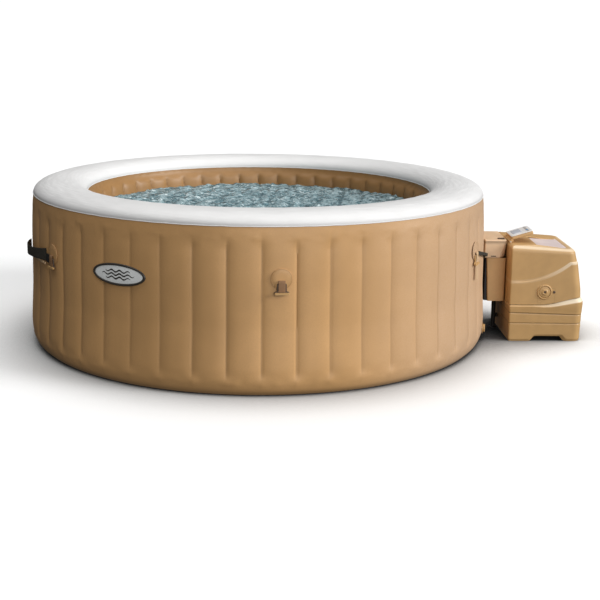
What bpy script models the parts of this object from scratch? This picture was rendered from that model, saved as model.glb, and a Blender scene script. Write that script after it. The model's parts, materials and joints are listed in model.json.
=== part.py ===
"""Inflatable hot tub with its control unit, in metres, +Z up.

The tub's centre is over the origin on the floor, and the control unit stands on its +X side.
"""

import math

import bmesh
import bpy
from mathutils import Matrix, Vector

# ---- tub, driving sizes ----
TUB_R = 0.988  # outer wall at the crown of a panel, at mid height
SEAM_IN = 0.008  # how far a panel seam lies inside the crown
PANELS = 48
SEAM_AZ = math.radians(-149.4)
INNER_R = 0.725
RIM_SEAM_Z = 0.640
RIM_TOP_Z = 0.688
RIM_MID_R = 0.861
RIM_HALF = 0.113
OUTER_SKIN = 0.011
INNER_SKIN = 0.007
RIM_SKIN = 0.006
RIM_INNER_Z = 0.6368
GAP = 0.0004
PAD_R = 0.9480
PAD_T = 0.012
FLOOR_T = 0.010
FLOOR_R = 0.7440

# ---- what is on the tub's wall ----
STATION_AZ = (-26.0, -85.25, -146.0, 154.4, 94.4, 34.4)
STATION_Z = 0.449
STATION_R = 0.9875
PATCH_R = 0.040
BADGE_AZ = math.radians(-122.3)
BADGE_Z = 0.431
BADGE_A = 0.124
BADGE_B = 0.0425
BADGE_EDGE = 0.0105
DRAIN_AZ = -11.0
DRAIN_Z = 0.056
INFLATE_AZ = 121.0
INFLATE_Z = 0.560

# ---- water fittings through the wall, inside the duct ----
FITTING_Y = 0.034
FITTING_Z = 0.385
PIPE_R = 0.016
PIPE_BORE = 0.0125
FITTING_R = 0.0205
UNIT_ENTRY_Z = 0.214

# ---- control unit ----
UNIT_X0 = 1.092
UNIT_X1 = 1.416
UNIT_D = 0.2035  # half depth
UNIT_R = 0.036  # corner radius in plan on the +X side
UNIT_R_LEFT = 0.006  # and on the side towards the tub
SPLIT_LEFT = 0.165
SPLIT_RIGHT = 0.196
WALL = 0.004
TOP_SLOPE = -0.05  # the top falls this much per metre towards +X
PORT = (1.243, 0.222)
PORT_R = 0.034
WINDOW = (1.206, 1.342, -0.165, 0.082)  # x and y limits of the opening in the cover's top
ARCH_X = (1.182, 1.351)
ARCH_Z = 0.022

# ---- control panel ----
HINGE_X = 1.100
HINGE_Z = 0.4285
TILT = math.radians(16.5)
PANEL_U = (0.008, 0.106)
PANEL_Y = (-0.120, 0.0)
PANEL_T = 0.014
FACE_T = 0.003
PANEL_LIFT = 0.005  # its underside, above the hinge pin's centre
BUTTON_U = 0.088
BUTTON_SIZE = (0.012, 0.014)

MATERIALS = {
    "tan_vinyl": ((0.52, 0.33, 0.17), 0.45, 0.0),
    "white_vinyl": ((0.86, 0.83, 0.78), 0.45, 0.0),
    "tan_plastic": ((0.50, 0.33, 0.17), 0.40, 0.0),
    "brown_plastic": ((0.16, 0.10, 0.06), 0.45, 0.0),
    "black_plastic": ((0.02, 0.02, 0.02), 0.45, 0.0),
    "white_plastic": ((0.85, 0.85, 0.85), 0.35, 0.0),
    "grey_plastic": ((0.42, 0.40, 0.38), 0.45, 0.0),
    "blue_plastic": ((0.10, 0.22, 0.38), 0.40, 0.0),
    "dark_lens": ((0.02, 0.03, 0.04), 0.15, 0.0),
    "steel": ((0.55, 0.55, 0.56), 0.30, 1.0),
    "filter_paper": ((0.80, 0.82, 0.84), 0.90, 0.0),
    "board_green": ((0.05, 0.22, 0.10), 0.50, 0.0),
}
made_materials = {}


def material(name):
    if name not in made_materials:
        colour, rough, metal = MATERIALS[name]
        m = bpy.data.materials.new(name)
        m.use_nodes = True
        shader = m.node_tree.nodes["Principled BSDF"]
        shader.inputs["Base Color"].default_value = (*colour, 1.0)
        shader.inputs["Roughness"].default_value = rough
        shader.inputs["Metallic"].default_value = metal
        made_materials[name] = m
    return made_materials[name]


def solid(name, points, faces, slot):
    """An object from points and faces, with its faces turned outwards."""
    mesh = bpy.data.meshes.new(name)
    mesh.from_pydata([tuple(float(c) for c in p) for p in points], [], faces)
    bm = bmesh.new()
    bm.from_mesh(mesh)
    bmesh.ops.remove_doubles(bm, verts=bm.verts, dist=1e-7)
    bmesh.ops.recalc_face_normals(bm, faces=bm.faces)
    if bm.calc_volume(signed=True) < 0:
        bmesh.ops.reverse_faces(bm, faces=bm.faces)
    bm.to_mesh(mesh)
    bm.free()
    obj = bpy.data.objects.new(name, mesh)
    bpy.context.scene.collection.objects.link(obj)
    mesh.materials.append(material(slot))
    return obj


def skin(name, loops, slot, closed=False):
    """Loops of equal length joined by quads. The two ends are capped, or joined if closed."""
    n = len(loops[0])
    points = [p for loop in loops for p in loop]
    count = len(loops)
    faces = []
    for i in range(count if closed else count - 1):
        a = i * n
        b = ((i + 1) % count) * n
        for j in range(n):
            k = (j + 1) % n
            faces.append((a + j, a + k, b + k, b + j))
    if not closed:
        faces.append(tuple(range(n)))
        faces.append(tuple((count - 1) * n + j for j in range(n)))
    return solid(name, points, faces, slot)


def ring_of(profile, steps, wobble=None):
    """Loops round +Z, one per azimuth, each a closed profile of (r, z, lobe share)."""
    loops = []
    for i in range(steps):
        az = SEAM_AZ + 2 * math.pi * i / steps
        loop = []
        for r, z, share in profile:
            rr = r + (wobble(i) * share if wobble else 0.0)
            loop.append((rr * math.cos(az), rr * math.sin(az), z))
        loops.append(loop)
    return loops


def basis(axis):
    """Two unit vectors across an axis, the first level where it can be."""
    w = Vector(axis).normalized()
    side = Vector((0, 0, 1)).cross(w)
    if side.length < 1e-6:
        side = Vector((1, 0, 0))
    side.normalize()
    return side, w.cross(side), w


def turned(name, profile, origin, axis, slot, steps=20, closed=False):
    """A profile of (r, h) turned about an axis. An end at r = 0 is a single point."""
    side, up, w = basis(axis)
    origin = Vector(origin)
    points = []
    index = []
    for r, h in profile:
        row = []
        if r < 1e-9:
            points.append(origin + w * h)
            row = [len(points) - 1] * steps
        else:
            for i in range(steps):
                a = 2 * math.pi * i / steps
                points.append(origin + w * h + (side * math.cos(a) + up * math.sin(a)) * r)
                row.append(len(points) - 1)
        index.append(row)
    faces = []
    rows = len(profile)
    for k in range(rows if closed else rows - 1):
        a, b = index[k], index[(k + 1) % rows]
        for i in range(steps):
            j = (i + 1) % steps
            quad = []
            for v in (a[i], a[j], b[j], b[i]):
                if v not in quad:
                    quad.append(v)
            if len(quad) > 2:
                faces.append(tuple(quad))
    return solid(name, points, faces, slot)


def rounded_rect(x0, x1, y0, y1, r, z, per=3, left=None):
    """A loop round a rectangle with rounded corners. z is a number or a function of x and y.

    left is the radius of the two corners at x0, where it isn't r too.
    """
    loop = []
    s = r if left is None else left
    corners = ((x1 - r, y1 - r, 0, r), (x0 + s, y1 - s, 1, s), (x0 + s, y0 + s, 2, s), (x1 - r, y0 + r, 3, r))
    for cx, cy, q, r in corners:
        for i in range(per + 1):
            a = math.pi / 2 * (q + i / per)
            x = cx + r * math.cos(a)
            y = cy + r * math.sin(a)
            loop.append((x, y, z(x, y) if callable(z) else z))
    return loop


def box(name, low, high, slot):
    x0, y0, z0 = low
    x1, y1, z1 = high
    loops = []
    for z in (z0, z1):
        loops.append([(x0, y0, z), (x1, y0, z), (x1, y1, z), (x0, y1, z)])
    return skin(name, loops, slot)


def sweep(name, path, radius, bore, slot, sides=10):
    """A round tube along a path of points, hollow to the given bore."""
    path = [Vector(p) for p in path]
    normal = None
    outer = []
    inner = []
    for i, p in enumerate(path):
        ahead = (path[min(i + 1, len(path) - 1)] - path[max(i - 1, 0)]).normalized()
        if normal is None:
            normal = basis(ahead)[0]
        normal = (normal - ahead * normal.dot(ahead)).normalized()
        other = ahead.cross(normal)
        ring = [normal * math.cos(t) + other * math.sin(t)
                for t in (2 * math.pi * j / sides for j in range(sides))]
        outer.append([p + v * radius for v in ring])
        inner.append([p + v * bore for v in ring])
    return skin(name, outer + inner[::-1], slot, closed=True)


def bend_path(points, radius, per=4):
    """The points of a route with each inner corner rounded."""
    pts = [Vector(p) for p in points]
    out = [pts[0]]
    for a, b, c in zip(pts, pts[1:], pts[2:]):
        u = (a - b).normalized()
        v = (c - b).normalized()
        for i in range(per + 1):
            t = i / per
            p0 = b + u * radius
            p2 = b + v * radius
            out.append(p0 * (1 - t) ** 2 + b * 2 * t * (1 - t) + p2 * t ** 2)
    out.append(pts[-1])
    return out


def cut(target, cutters, how="DIFFERENCE"):
    """Applies exact Booleans and removes the cutters."""
    for c in cutters:
        mod = target.modifiers.new("cut", "BOOLEAN")
        mod.operation = how
        mod.solver = "EXACT"
        mod.object = c
        bpy.context.view_layer.update()
        done = target.evaluated_get(bpy.context.evaluated_depsgraph_get())
        mesh = bpy.data.meshes.new_from_object(done)
        target.modifiers.clear()
        target.data = mesh
        bpy.data.objects.remove(c, do_unlink=True)
    bm = bmesh.new()
    bm.from_mesh(target.data)
    bmesh.ops.remove_doubles(bm, verts=bm.verts, dist=2e-6)
    bmesh.ops.dissolve_degenerate(bm, edges=bm.edges, dist=1e-6)
    bmesh.ops.triangulate(bm, faces=bm.faces)
    bm.to_mesh(target.data)
    bm.free()
    return target


def place(obj, matrix):
    """Moves the mesh itself, so the object stays at the origin."""
    obj.data.transform(matrix)
    return obj


def set_origin(obj, point):
    """Puts a moving piece's origin on its joint axis."""
    obj.data.transform(Matrix.Translation(-Vector(point)))
    obj.location = point
    return obj


def out_from(az):
    a = math.radians(az)
    return Vector((math.cos(a), math.sin(a), 0))


# ---------------------------------------------------------------- tub
def lobe_out(i):
    return -SEAM_IN if i % 2 == 0 else 0.0


def lobe_in(i):
    return SEAM_IN if i % 2 == 0 else 0.0


def wall_cutters(reach):
    made = []
    for s in (-1, 1):
        a = (0.60, s * FITTING_Y, FITTING_Z)
        made.append(turned("cutter", [(0, 0), (reach, 0), (reach, 0.5), (0, 0.5)], a, (1, 0, 0),
                           "black_plastic", 14))
    return made


def build_outer_wall():
    t = OUTER_SKIN
    profile = [
        (PAD_R + 0.0005, 0.0006, 0.0), (0.9660, 0.0006, 0.1), (0.9900, 0.0350, 0.8),
        (1.0000, 0.1000, 1.0), (TUB_R, 0.3000, 1.0), (0.9860, 0.4700, 1.0), (0.9790, 0.5800, 1.0),
        (0.9740, RIM_SEAM_Z - GAP, 0.0), (0.9630, RIM_SEAM_Z - GAP, 0.0), (0.9750, 0.4700, 1.0),
        (TUB_R - t, 0.3000, 1.0), (0.9890, 0.1000, 1.0),
    ]
    wall = skin("outer_wall", ring_of(profile, PANELS * 2, lobe_out), "tan_vinyl", closed=True)
    return cut(wall, wall_cutters(FITTING_R + 0.0008))


def build_inner_wall():
    t = INNER_SKIN
    profile = [
        (0.7480, 0.6364, 0.0), (0.7430, 0.6060, 0.0), (0.7280, 0.5900, 1.0),
        (INNER_R, 0.5000, 1.0), (INNER_R, 0.1000, 1.0), (0.7450, PAD_T + GAP, 0.0),
        (0.7520, PAD_T + GAP, 0.0), (INNER_R + t, 0.1000, 1.0), (INNER_R + t, 0.5000, 1.0),
        (0.7500, 0.6030, 0.0), (0.7545, 0.6364, 0.0),
    ]
    wall = skin("inner_wall", ring_of(profile, PANELS * 2, lobe_in), "tan_vinyl", closed=True)
    return cut(wall, wall_cutters(FITTING_R + 0.0008))


def build_web():
    """A folded band that ties each outer seam to the inner seams beside it."""
    loops = []
    steps = PANELS * 2
    for i in range(steps):
        az = SEAM_AZ + 2 * math.pi * i / steps
        r = 0.9530 if i % 2 == 0 else 0.7620
        c, s = math.cos(az), math.sin(az)
        loops.append([((r + dr) * c, (r + dr) * s, z)
                      for dr, z in ((0, 0.130), (0.006, 0.130), (0.006, 0.585), (0, 0.585))])
    web = skin("wall_web", loops, "white_vinyl", closed=True)
    return cut(web, wall_cutters(FITTING_R + 0.0008))


def build_rim():
    """A dome over the top of both walls: |u|^p + |v|^p = 1 with p = 2.3."""
    def arc(half, height, base_out, base_in, count):
        pts = []
        for i in range(count):
            a = math.pi * i / (count - 1)
            u = math.copysign(abs(math.cos(a)) ** (2 / 2.3), math.cos(a))
            v = abs(math.sin(a)) ** (2 / 2.3)
            base = base_in + (base_out - base_in) * (u + 1) / 2
            pts.append((RIM_MID_R + half * u, base + (height - base) * v, 0.0))
        return pts

    outer = arc(RIM_HALF, RIM_TOP_Z, RIM_SEAM_Z + GAP, RIM_INNER_Z, 10)
    inner = arc(RIM_HALF - RIM_SKIN, RIM_TOP_Z - RIM_SKIN, RIM_SEAM_Z + GAP, RIM_INNER_Z, 6)
    skin("top_rim", ring_of(outer + inner[::-1], 64), "white_vinyl", closed=True)


def build_floor():
    turned("tub_bottom_pad", [(0, 0), (PAD_R, 0), (PAD_R, PAD_T), (0, PAD_T)], (0, 0, 0), (0, 0, 1),
           "tan_vinyl", 64)
    low = PAD_T + GAP
    turned("tub_floor", [(0, low), (FLOOR_R, low), (FLOOR_R - 0.004, low + FLOOR_T), (0, low + FLOOR_T)],
           (0, 0, 0), (0, 0, 1), "tan_vinyl", 64)
    ring = []
    for i in range(5):
        a = 2 * math.pi * i / 5
        ring.append((0.480 + 0.010 * math.cos(a), low + FLOOR_T + GAP + 0.0100 + 0.010 * math.sin(a)))
    turned("bubble_ring", ring, (0, 0, 0), (0, 0, 1), "white_vinyl", 40, closed=True)


def wall_frame(az, z, r):
    """A matrix whose X runs along the wall, Y up and Z outwards, at a point on the wall."""
    out = out_from(az)
    along = Vector((0, 0, 1)).cross(out)
    m = Matrix((along, Vector((0, 0, 1)), out)).transposed().to_4x4()
    m.translation = out * r + Vector((0, 0, z))
    return m


def prism(name, outline, depth, matrix, slot):
    """An outline in X and Y pushed out along Z."""
    loops = [[tuple(matrix @ Vector((x, y, h))) for x, y in outline] for h in (0, depth)]
    return skin(name, loops, slot)


def build_stations():
    for k, az in enumerate(STATION_AZ, 1):
        out = out_from(az)
        at = out * (STATION_R + 0.0005) + Vector((0, 0, STATION_Z))
        turned(f"strap_patch_{k}", [(0, 0), (PATCH_R, 0), (PATCH_R - 0.002, 0.003), (0, 0.003)], at, out,
               "tan_vinyl", 16)
        outline = [(-0.0275, -0.057), (0.0275, -0.057), (0.0275, -0.045), (0.018, -0.045),
                   (0.018, -0.009), (0.013, -0.005), (-0.013, -0.005), (-0.018, -0.009),
                   (-0.018, -0.045), (-0.0275, -0.045)]
        prism(f"strap_buckle_{k}", outline, 0.012, wall_frame(az, STATION_Z, STATION_R + 0.0039),
              "brown_plastic")


def build_handle(name, az, heights, bulge, half_ends, half_mid):
    """A band held at both ends, with r = wall + bulge times a flat-topped arch between."""
    loops = []
    count = 13
    for i in range(count):
        t = i / (count - 1)
        arch = math.sin(math.pi * t) ** 0.8 if 0 < t < 1 else 0.0
        r = STATION_R + 0.0008 + bulge * arch
        turn = math.radians(az[0] + (az[1] - az[0]) * t)
        half = half_ends + (half_mid - half_ends) * arch
        z = heights[0] + (heights[1] - heights[0]) * t
        c, s = math.cos(turn), math.sin(turn)
        loops.append([((r + dr) * c, (r + dr) * s, z + h)
                      for dr, h in ((0, -half), (0.004, -half), (0.004, half), (0, half))])
    skin(name, loops, "tan_vinyl")


def build_badge():
    """An oval plate in a raised oval border, both bent to the wall."""
    def at(s, h, r):
        az = BADGE_AZ + s / STATION_R
        return (r * math.cos(az), r * math.sin(az), BADGE_Z + h)

    def oval(a, b, r, steps=28):
        return [at(a * math.cos(t), b * math.sin(t), r)
                for t in (2 * math.pi * i / steps for i in range(steps))]

    low = STATION_R + 0.0006
    a, b = BADGE_A - BADGE_EDGE, BADGE_B - BADGE_EDGE * 0.8
    rows = []
    for share in (0.35, 0.7, 1.0):
        rows.append(oval((a - 0.0006) * share, (b - 0.0006) * share, low + 0.0042))
    for share in (1.0, 0.7, 0.35):
        rows.append(oval((a - 0.0006) * share, (b - 0.0006) * share, low))
    skin("badge_plate", rows, "grey_plastic")
    rim = [oval(BADGE_A, BADGE_B, low), oval(BADGE_A - 0.002, BADGE_B - 0.002, low + 0.0075),
           oval(a + 0.001, b + 0.001, low + 0.0075), oval(a, b, low)]
    skin("badge_border", rim, "brown_plastic", closed=True)


def build_valves():
    out = out_from(DRAIN_AZ)
    at = out * 0.9985 + Vector((0, 0, DRAIN_Z))
    turned("drain_valve", [(0.0135, 0), (0.024, 0), (0.024, 0.002), (0.0175, 0.0026), (0.0175, 0.006),
                           (0.0135, 0.006)], at, out, "tan_plastic", 16, closed=True)
    cap = turned("drain_cap", [(0, 0.0015), (0.012, 0.0015), (0.012, 0.0064), (0.0185, 0.0064),
                               (0.0178, 0.0110), (0.0, 0.0115)], at, out, "tan_plastic", 16)
    set_origin(cap, at)
    out = out_from(INFLATE_AZ)
    at = out * 0.9822 + Vector((0, 0, INFLATE_Z))
    turned("inflation_valve", [(0.0140, 0), (0.032, 0), (0.031, 0.004), (0.0215, 0.005), (0.0215, 0.010),
                               (0.0140, 0.010)], at, out, "grey_plastic", 16, closed=True)
    cap = turned("inflation_cap", [(0, 0.003), (0.0130, 0.003), (0.0130, 0.0105), (0.0225, 0.0105),
                                   (0.0215, 0.017), (0.0, 0.018)], at, out, "grey_plastic", 16)
    set_origin(cap, at)


def build_fittings():
    """Two wall fittings with the filter on the inner end of the first one."""
    for name, s in (("suction_fitting", -1), ("return_fitting", 1)):
        at = (0.0, s * FITTING_Y, FITTING_Z)
        flange = 0.031
        x0 = 0.7130
        turned(name, [(0.0135, x0), (flange, x0), (flange, x0 + 0.006), (FITTING_R, x0 + 0.0065),
                      (FITTING_R, 1.0150), (0.0135, 1.0150)], at, (1, 0, 0), "grey_plastic", 16, closed=True)
    at = (0.0, -FITTING_Y, FITTING_Z)
    turned("filter_housing", [(0.0140, 0.7125), (0.0140, 0.7090), (0.0460, 0.7090), (0.0460, 0.6120),
                              (0.0500, 0.6120), (0.0500, 0.7125)], at, (1, 0, 0), "grey_plastic", 20,
           closed=True)
    turned("filter_cartridge", [(0.0200, 0.7060), (0.0430, 0.7060), (0.0430, 0.6160), (0.0200, 0.6160)],
           at, (1, 0, 0), "filter_paper", 18, closed=True)
    cap = turned("filter_cap", [(0.0, 0.6020), (0.0520, 0.6020), (0.0540, 0.6050), (0.0540, 0.6300),
                                (0.0508, 0.6300), (0.0508, 0.6110), (0.0, 0.6110)], at, (1, 0, 0),
                 "grey_plastic", 20)
    set_origin(cap, (0.6110, -FITTING_Y, FITTING_Z))


# ---------------------------------------------------------------- control unit
def split_z(x, y):
    """The joint between base and cover is level, then rises in a smooth ramp towards +X."""
    t = min(max((x - 1.235) / (UNIT_X1 - 1.235), 0.0), 1.0)
    return SPLIT_LEFT + (SPLIT_RIGHT - SPLIT_LEFT) * t * t * (3 - 2 * t)


def unit_loop(x0, x1, d, r, z, rear=0.0):
    return rounded_rect(x0, x1, -d, d - rear, r, z, left=min(r, UNIT_R_LEFT))


def build_base():
    """A flared tray with a skirt below its floor and an arch cut through front and back."""
    t = WALL

    def near_split(drop):
        return lambda x, y: split_z(x, y) - drop

    rows = [
        unit_loop(UNIT_X0 + 0.012, UNIT_X1 - 0.022, UNIT_D - 0.014, 0.026, 0.036),
        unit_loop(UNIT_X0 + 0.004, UNIT_X1 - 0.006, UNIT_D - 0.006, 0.030, near_split(0.014)),
        unit_loop(UNIT_X0 + 0.004, UNIT_X1 - 0.006, UNIT_D - 0.006, 0.030, near_split(0.0012)),
        unit_loop(UNIT_X0 - 0.002, UNIT_X1 + 0.010, UNIT_D + 0.006, 0.040, near_split(0.0012)),
        unit_loop(UNIT_X0 - 0.003, UNIT_X1 + 0.012, UNIT_D + 0.008, 0.040, near_split(0.010)),
        unit_loop(UNIT_X0 + 0.001, UNIT_X1 + 0.002, UNIT_D + 0.002, 0.038, 0.110),
        unit_loop(UNIT_X0 + 0.003, UNIT_X1 - 0.003, UNIT_D, 0.036, 0.030),
        unit_loop(UNIT_X0 + 0.005, UNIT_X1 - 0.007, UNIT_D - 0.002, 0.034, 0.0),
        unit_loop(UNIT_X0 + 0.013, UNIT_X1 - 0.015, UNIT_D - 0.010, 0.026, 0.0),
        unit_loop(UNIT_X0 + 0.012, UNIT_X1 - 0.014, UNIT_D - 0.010, 0.026, 0.030),
    ]
    base = skin("unit_base", rows, "tan_plastic")
    x0, x1 = ARCH_X
    outline = [(x0, -0.01), (x1, -0.01), (x1 - 0.005, 0.010), (x1 - 0.022, ARCH_Z),
               (x0 + 0.020, ARCH_Z), (x0 + 0.006, 0.010)]
    loops = [[(x, y, z) for x, z in outline] for y in (-0.25, 0.25)]
    arch = skin("cutter", loops, "tan_plastic")
    entry = turned("cutter", [(0, 0), (0.0075, 0), (0.0075, 0.06), (0, 0.06)], (UNIT_X0 - 0.03, 0.054, 0.055),
                   (1, 0, 0), "black_plastic", 12)
    return cut(base, [arch, entry])


def top_z(z):
    return lambda x, y: z + TOP_SLOPE * (x - UNIT_X0)


def cover_rows(inset):
    """Loops from the joint up to the crown, drawn in by inset for the inside."""
    i = inset
    rows = [
        (0.0, 1.4110, 0.0, 0.0, None), (0.0, 1.4060, 0.0, 0.0, 0.232),
        (-0.001, 1.3860, 0.0, 0.0, 0.350), (-0.002, 1.3760, 0.001, 0.003, 0.406),
        (-0.001, 1.3710, 0.005, 0.015, 0.4150), (0.004, 1.3630, 0.014, 0.045, 0.4210),
        (0.012, 1.3530, 0.024, 0.085, 0.4235),
    ]
    out = []
    for left, x1, front, rear, z in rows:
        x0 = UNIT_X0 + left
        d = UNIT_D - front
        if z is None:
            height = lambda x, y: split_z(x, y) + GAP
        else:
            share = min(max((z - 0.350) / 0.056, 0.0), 1.0)
            height = (lambda zz, sh: lambda x, y: zz - i * 0.95 * sh + TOP_SLOPE * sh * (x - UNIT_X0))(z, share)
        out.append(unit_loop(x0 + i, x1 - i, d - i, UNIT_R - i, height, rear))
    return out


def build_cover():
    outer = cover_rows(0.0)
    inner = cover_rows(WALL)
    cover = skin("unit_cover", inner[::-1] + outer, "tan_plastic")
    px, pz = PORT
    hole = turned("cutter", [(0, 0), (0.0255, 0), (0.0255, 0.05), (0, 0.05)], (px, -UNIT_D + 0.025, pz), (0, -1, 0),
                  "black_plastic", 20)
    window = skin("cutter", [rounded_rect(*WINDOW, 0.026, z) for z in (0.38, 0.48)],
                  "black_plastic")
    pipes = []
    for s in (-1, 1):
        pipes.append(turned("cutter", [(0, 0), (PIPE_R + 0.0015, 0), (PIPE_R + 0.0015, 0.05), (0, 0.05)],
                            (UNIT_X0 - 0.02, s * FITTING_Y, UNIT_ENTRY_Z), (1, 0, 0), "black_plastic", 12))
    cut(cover, [hole, window] + pipes)
    posts = []
    for y0, y1 in ((PANEL_Y[0] - 0.0100, PANEL_Y[0] - 0.0035), (PANEL_Y[1] + 0.0035, PANEL_Y[1] + 0.0100)):
        side = [[(HINGE_X - 0.004, y, 0.400), (HINGE_X + 0.016, y, 0.400), (HINGE_X + 0.006, y, HINGE_Z + 0.003),
                 (HINGE_X + 0.002, y, HINGE_Z + 0.0055), (HINGE_X - 0.002, y, HINGE_Z + 0.0055),
                 (HINGE_X - 0.004, y, HINGE_Z + 0.003)] for y in (y0, y1)]
        posts.append(skin("cutter", side, "tan_plastic"))
    cut(cover, posts, "UNION")


def build_top_panel():
    x0, x1, y0, y1 = WINDOW
    loops = []
    for z in (0.4172, 0.4206):
        loops.append(rounded_rect(x0 + 0.0008, x1 - 0.0008, y0 + 0.0008, y1 - 0.0008, 0.0252, top_z(z)))
    skin("unit_top_panel", loops, "grey_plastic")


def build_port():
    px, pz = PORT
    y = -UNIT_D - GAP
    turned("air_port_ring", [(0.0258, 0), (PORT_R, 0), (PORT_R, 0.003), (PORT_R - 0.003, 0.0055), (0.0258, 0.0055)],
           (px, y, pz), (0, -1, 0), "tan_plastic", 24, closed=True)
    cap = turned("air_port_cap", [(0, -0.008), (0.0235, -0.008), (0.0250, 0.0), (0.0250, 0.0035), (0.0190, 0.0075),
                                  (0.0070, 0.0080), (0.0060, 0.0050), (0, 0.0050)], (px, y, pz), (0, -1, 0),
                 "tan_plastic", 24)
    set_origin(cap, (px, y, pz))
    latch = turned("port_latch", [(0, 0), (0.0062, 0), (0.0055, 0.004), (0, 0.0045)],
                   (px + PORT_R + 0.0080, y, pz), (0, -1, 0), "brown_plastic", 12)
    set_origin(latch, (px + PORT_R + 0.0080, y, pz))


# ---------------------------------------------------------------- control panel
def panel_matrix():
    """Panel coordinates: u away from the hinge, v along it, w out of its face."""
    u = Vector((math.cos(TILT), 0, math.sin(TILT)))
    w = Vector((-math.sin(TILT), 0, math.cos(TILT)))
    m = Matrix((u, Vector((0, 1, 0)), w)).transposed().to_4x4()
    m.translation = (HINGE_X, 0, HINGE_Z)
    return m


def panel_box(name, low, high, slot):
    return place(box(name, low, high, slot), panel_matrix())


BUTTONS = (("button_power", -0.0190), ("button_heat", -0.0390), ("button_filter", -0.0590),
           ("button_bubbles", -0.0790))


def build_panel():
    m = panel_matrix()
    u0, u1 = PANEL_U
    y0, y1 = PANEL_Y
    lift = PANEL_LIFT
    rows = [
        rounded_rect(u0 + 0.003, u1 - 0.003, y0 + 0.003, y1 - 0.003, 0.003, lift + 0.003, 2),
        rounded_rect(u0 + 0.003, u1 - 0.003, y0 + 0.003, y1 - 0.003, 0.003, lift + PANEL_T, 2),
        rounded_rect(u0, u1, y0, y1, 0.006, lift + PANEL_T, 2),
        rounded_rect(u0, u1, y0, y1, 0.006, lift + 0.003, 2),
        rounded_rect(u0 + 0.002, u1 - 0.002, y0 + 0.002, y1 - 0.002, 0.005, lift, 2),
    ]
    housing = skin("panel_housing", rows, "tan_plastic")
    barrel = turned("cutter", [(0, y0 + 0.001), (0.006, y0 + 0.001), (0.006, y1 - 0.001), (0, y1 - 0.001)],
                    (0, 0, 0), (0, 1, 0), "tan_plastic", 14)
    arm = box("cutter", (0.002, y0 + 0.0010, -0.003), (u0 + 0.006, y1 - 0.0010, lift + 0.004), "tan_plastic")
    cut(housing, [barrel, arm], "UNION")
    bore = turned("cutter", [(0, y0 - 0.02), (0.0030, y0 - 0.02), (0.0030, y1 + 0.02), (0, y1 + 0.02)],
                  (0, 0, 0), (0, 1, 0), "tan_plastic", 14)
    cut(housing, [bore])
    place(housing, m)
    set_origin(housing, (HINGE_X, 0, HINGE_Z))
    turned("panel_hinge_pin", [(0, y0 - 0.0030), (0.0027, y0 - 0.0030), (0.0027, y1 + 0.0030),
                               (0, y1 + 0.0030)], (HINGE_X, 0, HINGE_Z), (0, 1, 0), "steel", 12)
    top = lift + PANEL_T + GAP
    face = skin("panel_face", [rounded_rect(u0 + 0.0005, u1 - 0.0005, y0 + 0.0005, y1 - 0.0005, 0.0055, w, 2)
                               for w in (top, top + FACE_T)], "white_plastic")
    bu, bv = BUTTON_SIZE
    holes = [box("cutter", (0.022, -0.096, top - 0.01), (0.062, -0.024, top + 0.02), "white_plastic")]
    for _, v in BUTTONS:
        holes.append(box("cutter", (BUTTON_U - bu / 2 - 0.0005, v - bv / 2 - 0.0005, top - 0.01),
                         (BUTTON_U + bu / 2 + 0.0005, v + bv / 2 + 0.0005, top + 0.02), "white_plastic"))
    holes.append(box("cutter", (BUTTON_U - bu / 2 - 0.0005, -0.1115, top - 0.01),
                     (BUTTON_U + bu / 2 + 0.0005, -0.0925, top + 0.02), "white_plastic"))
    cut(face, holes)
    place(face, m)
    panel_box("panel_display", (0.0225, -0.0955, top + 0.0003), (0.0615, -0.0245, top + FACE_T - 0.0006), "dark_lens")
    for name, v in BUTTONS:
        b = panel_box(name, (BUTTON_U - bu / 2, v - bv / 2, top - 0.003), (BUTTON_U + bu / 2, v + bv / 2, top + 0.0045),
                      "blue_plastic" if name == "button_bubbles" else "grey_plastic")
        set_origin(b, m @ Vector((BUTTON_U, v, top)))
    rocker = panel_box("temperature_rocker", (BUTTON_U - bu / 2, -0.1108, top - 0.0010),
                       (BUTTON_U + bu / 2, -0.0932, top + 0.0045), "grey_plastic")
    set_origin(rocker, m @ Vector((BUTTON_U, -0.1020, top)))


# ---------------------------------------------------------------- duct and pipes
def head_loop(inset, z, chamfer):
    x0, x1 = 0.9895 + inset, 1.0885 - inset
    y0, y1 = -0.1120 + inset, 0.1120 - inset
    c = chamfer
    return [(x1, y1, z), (x0, y1, z), (x0, y0, z), (x1 - c, y0, z), (x1 - c * 0.2, y0 + c * 0.8, z),
            (x1, (y0 + y1) / 2, z)]


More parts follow.
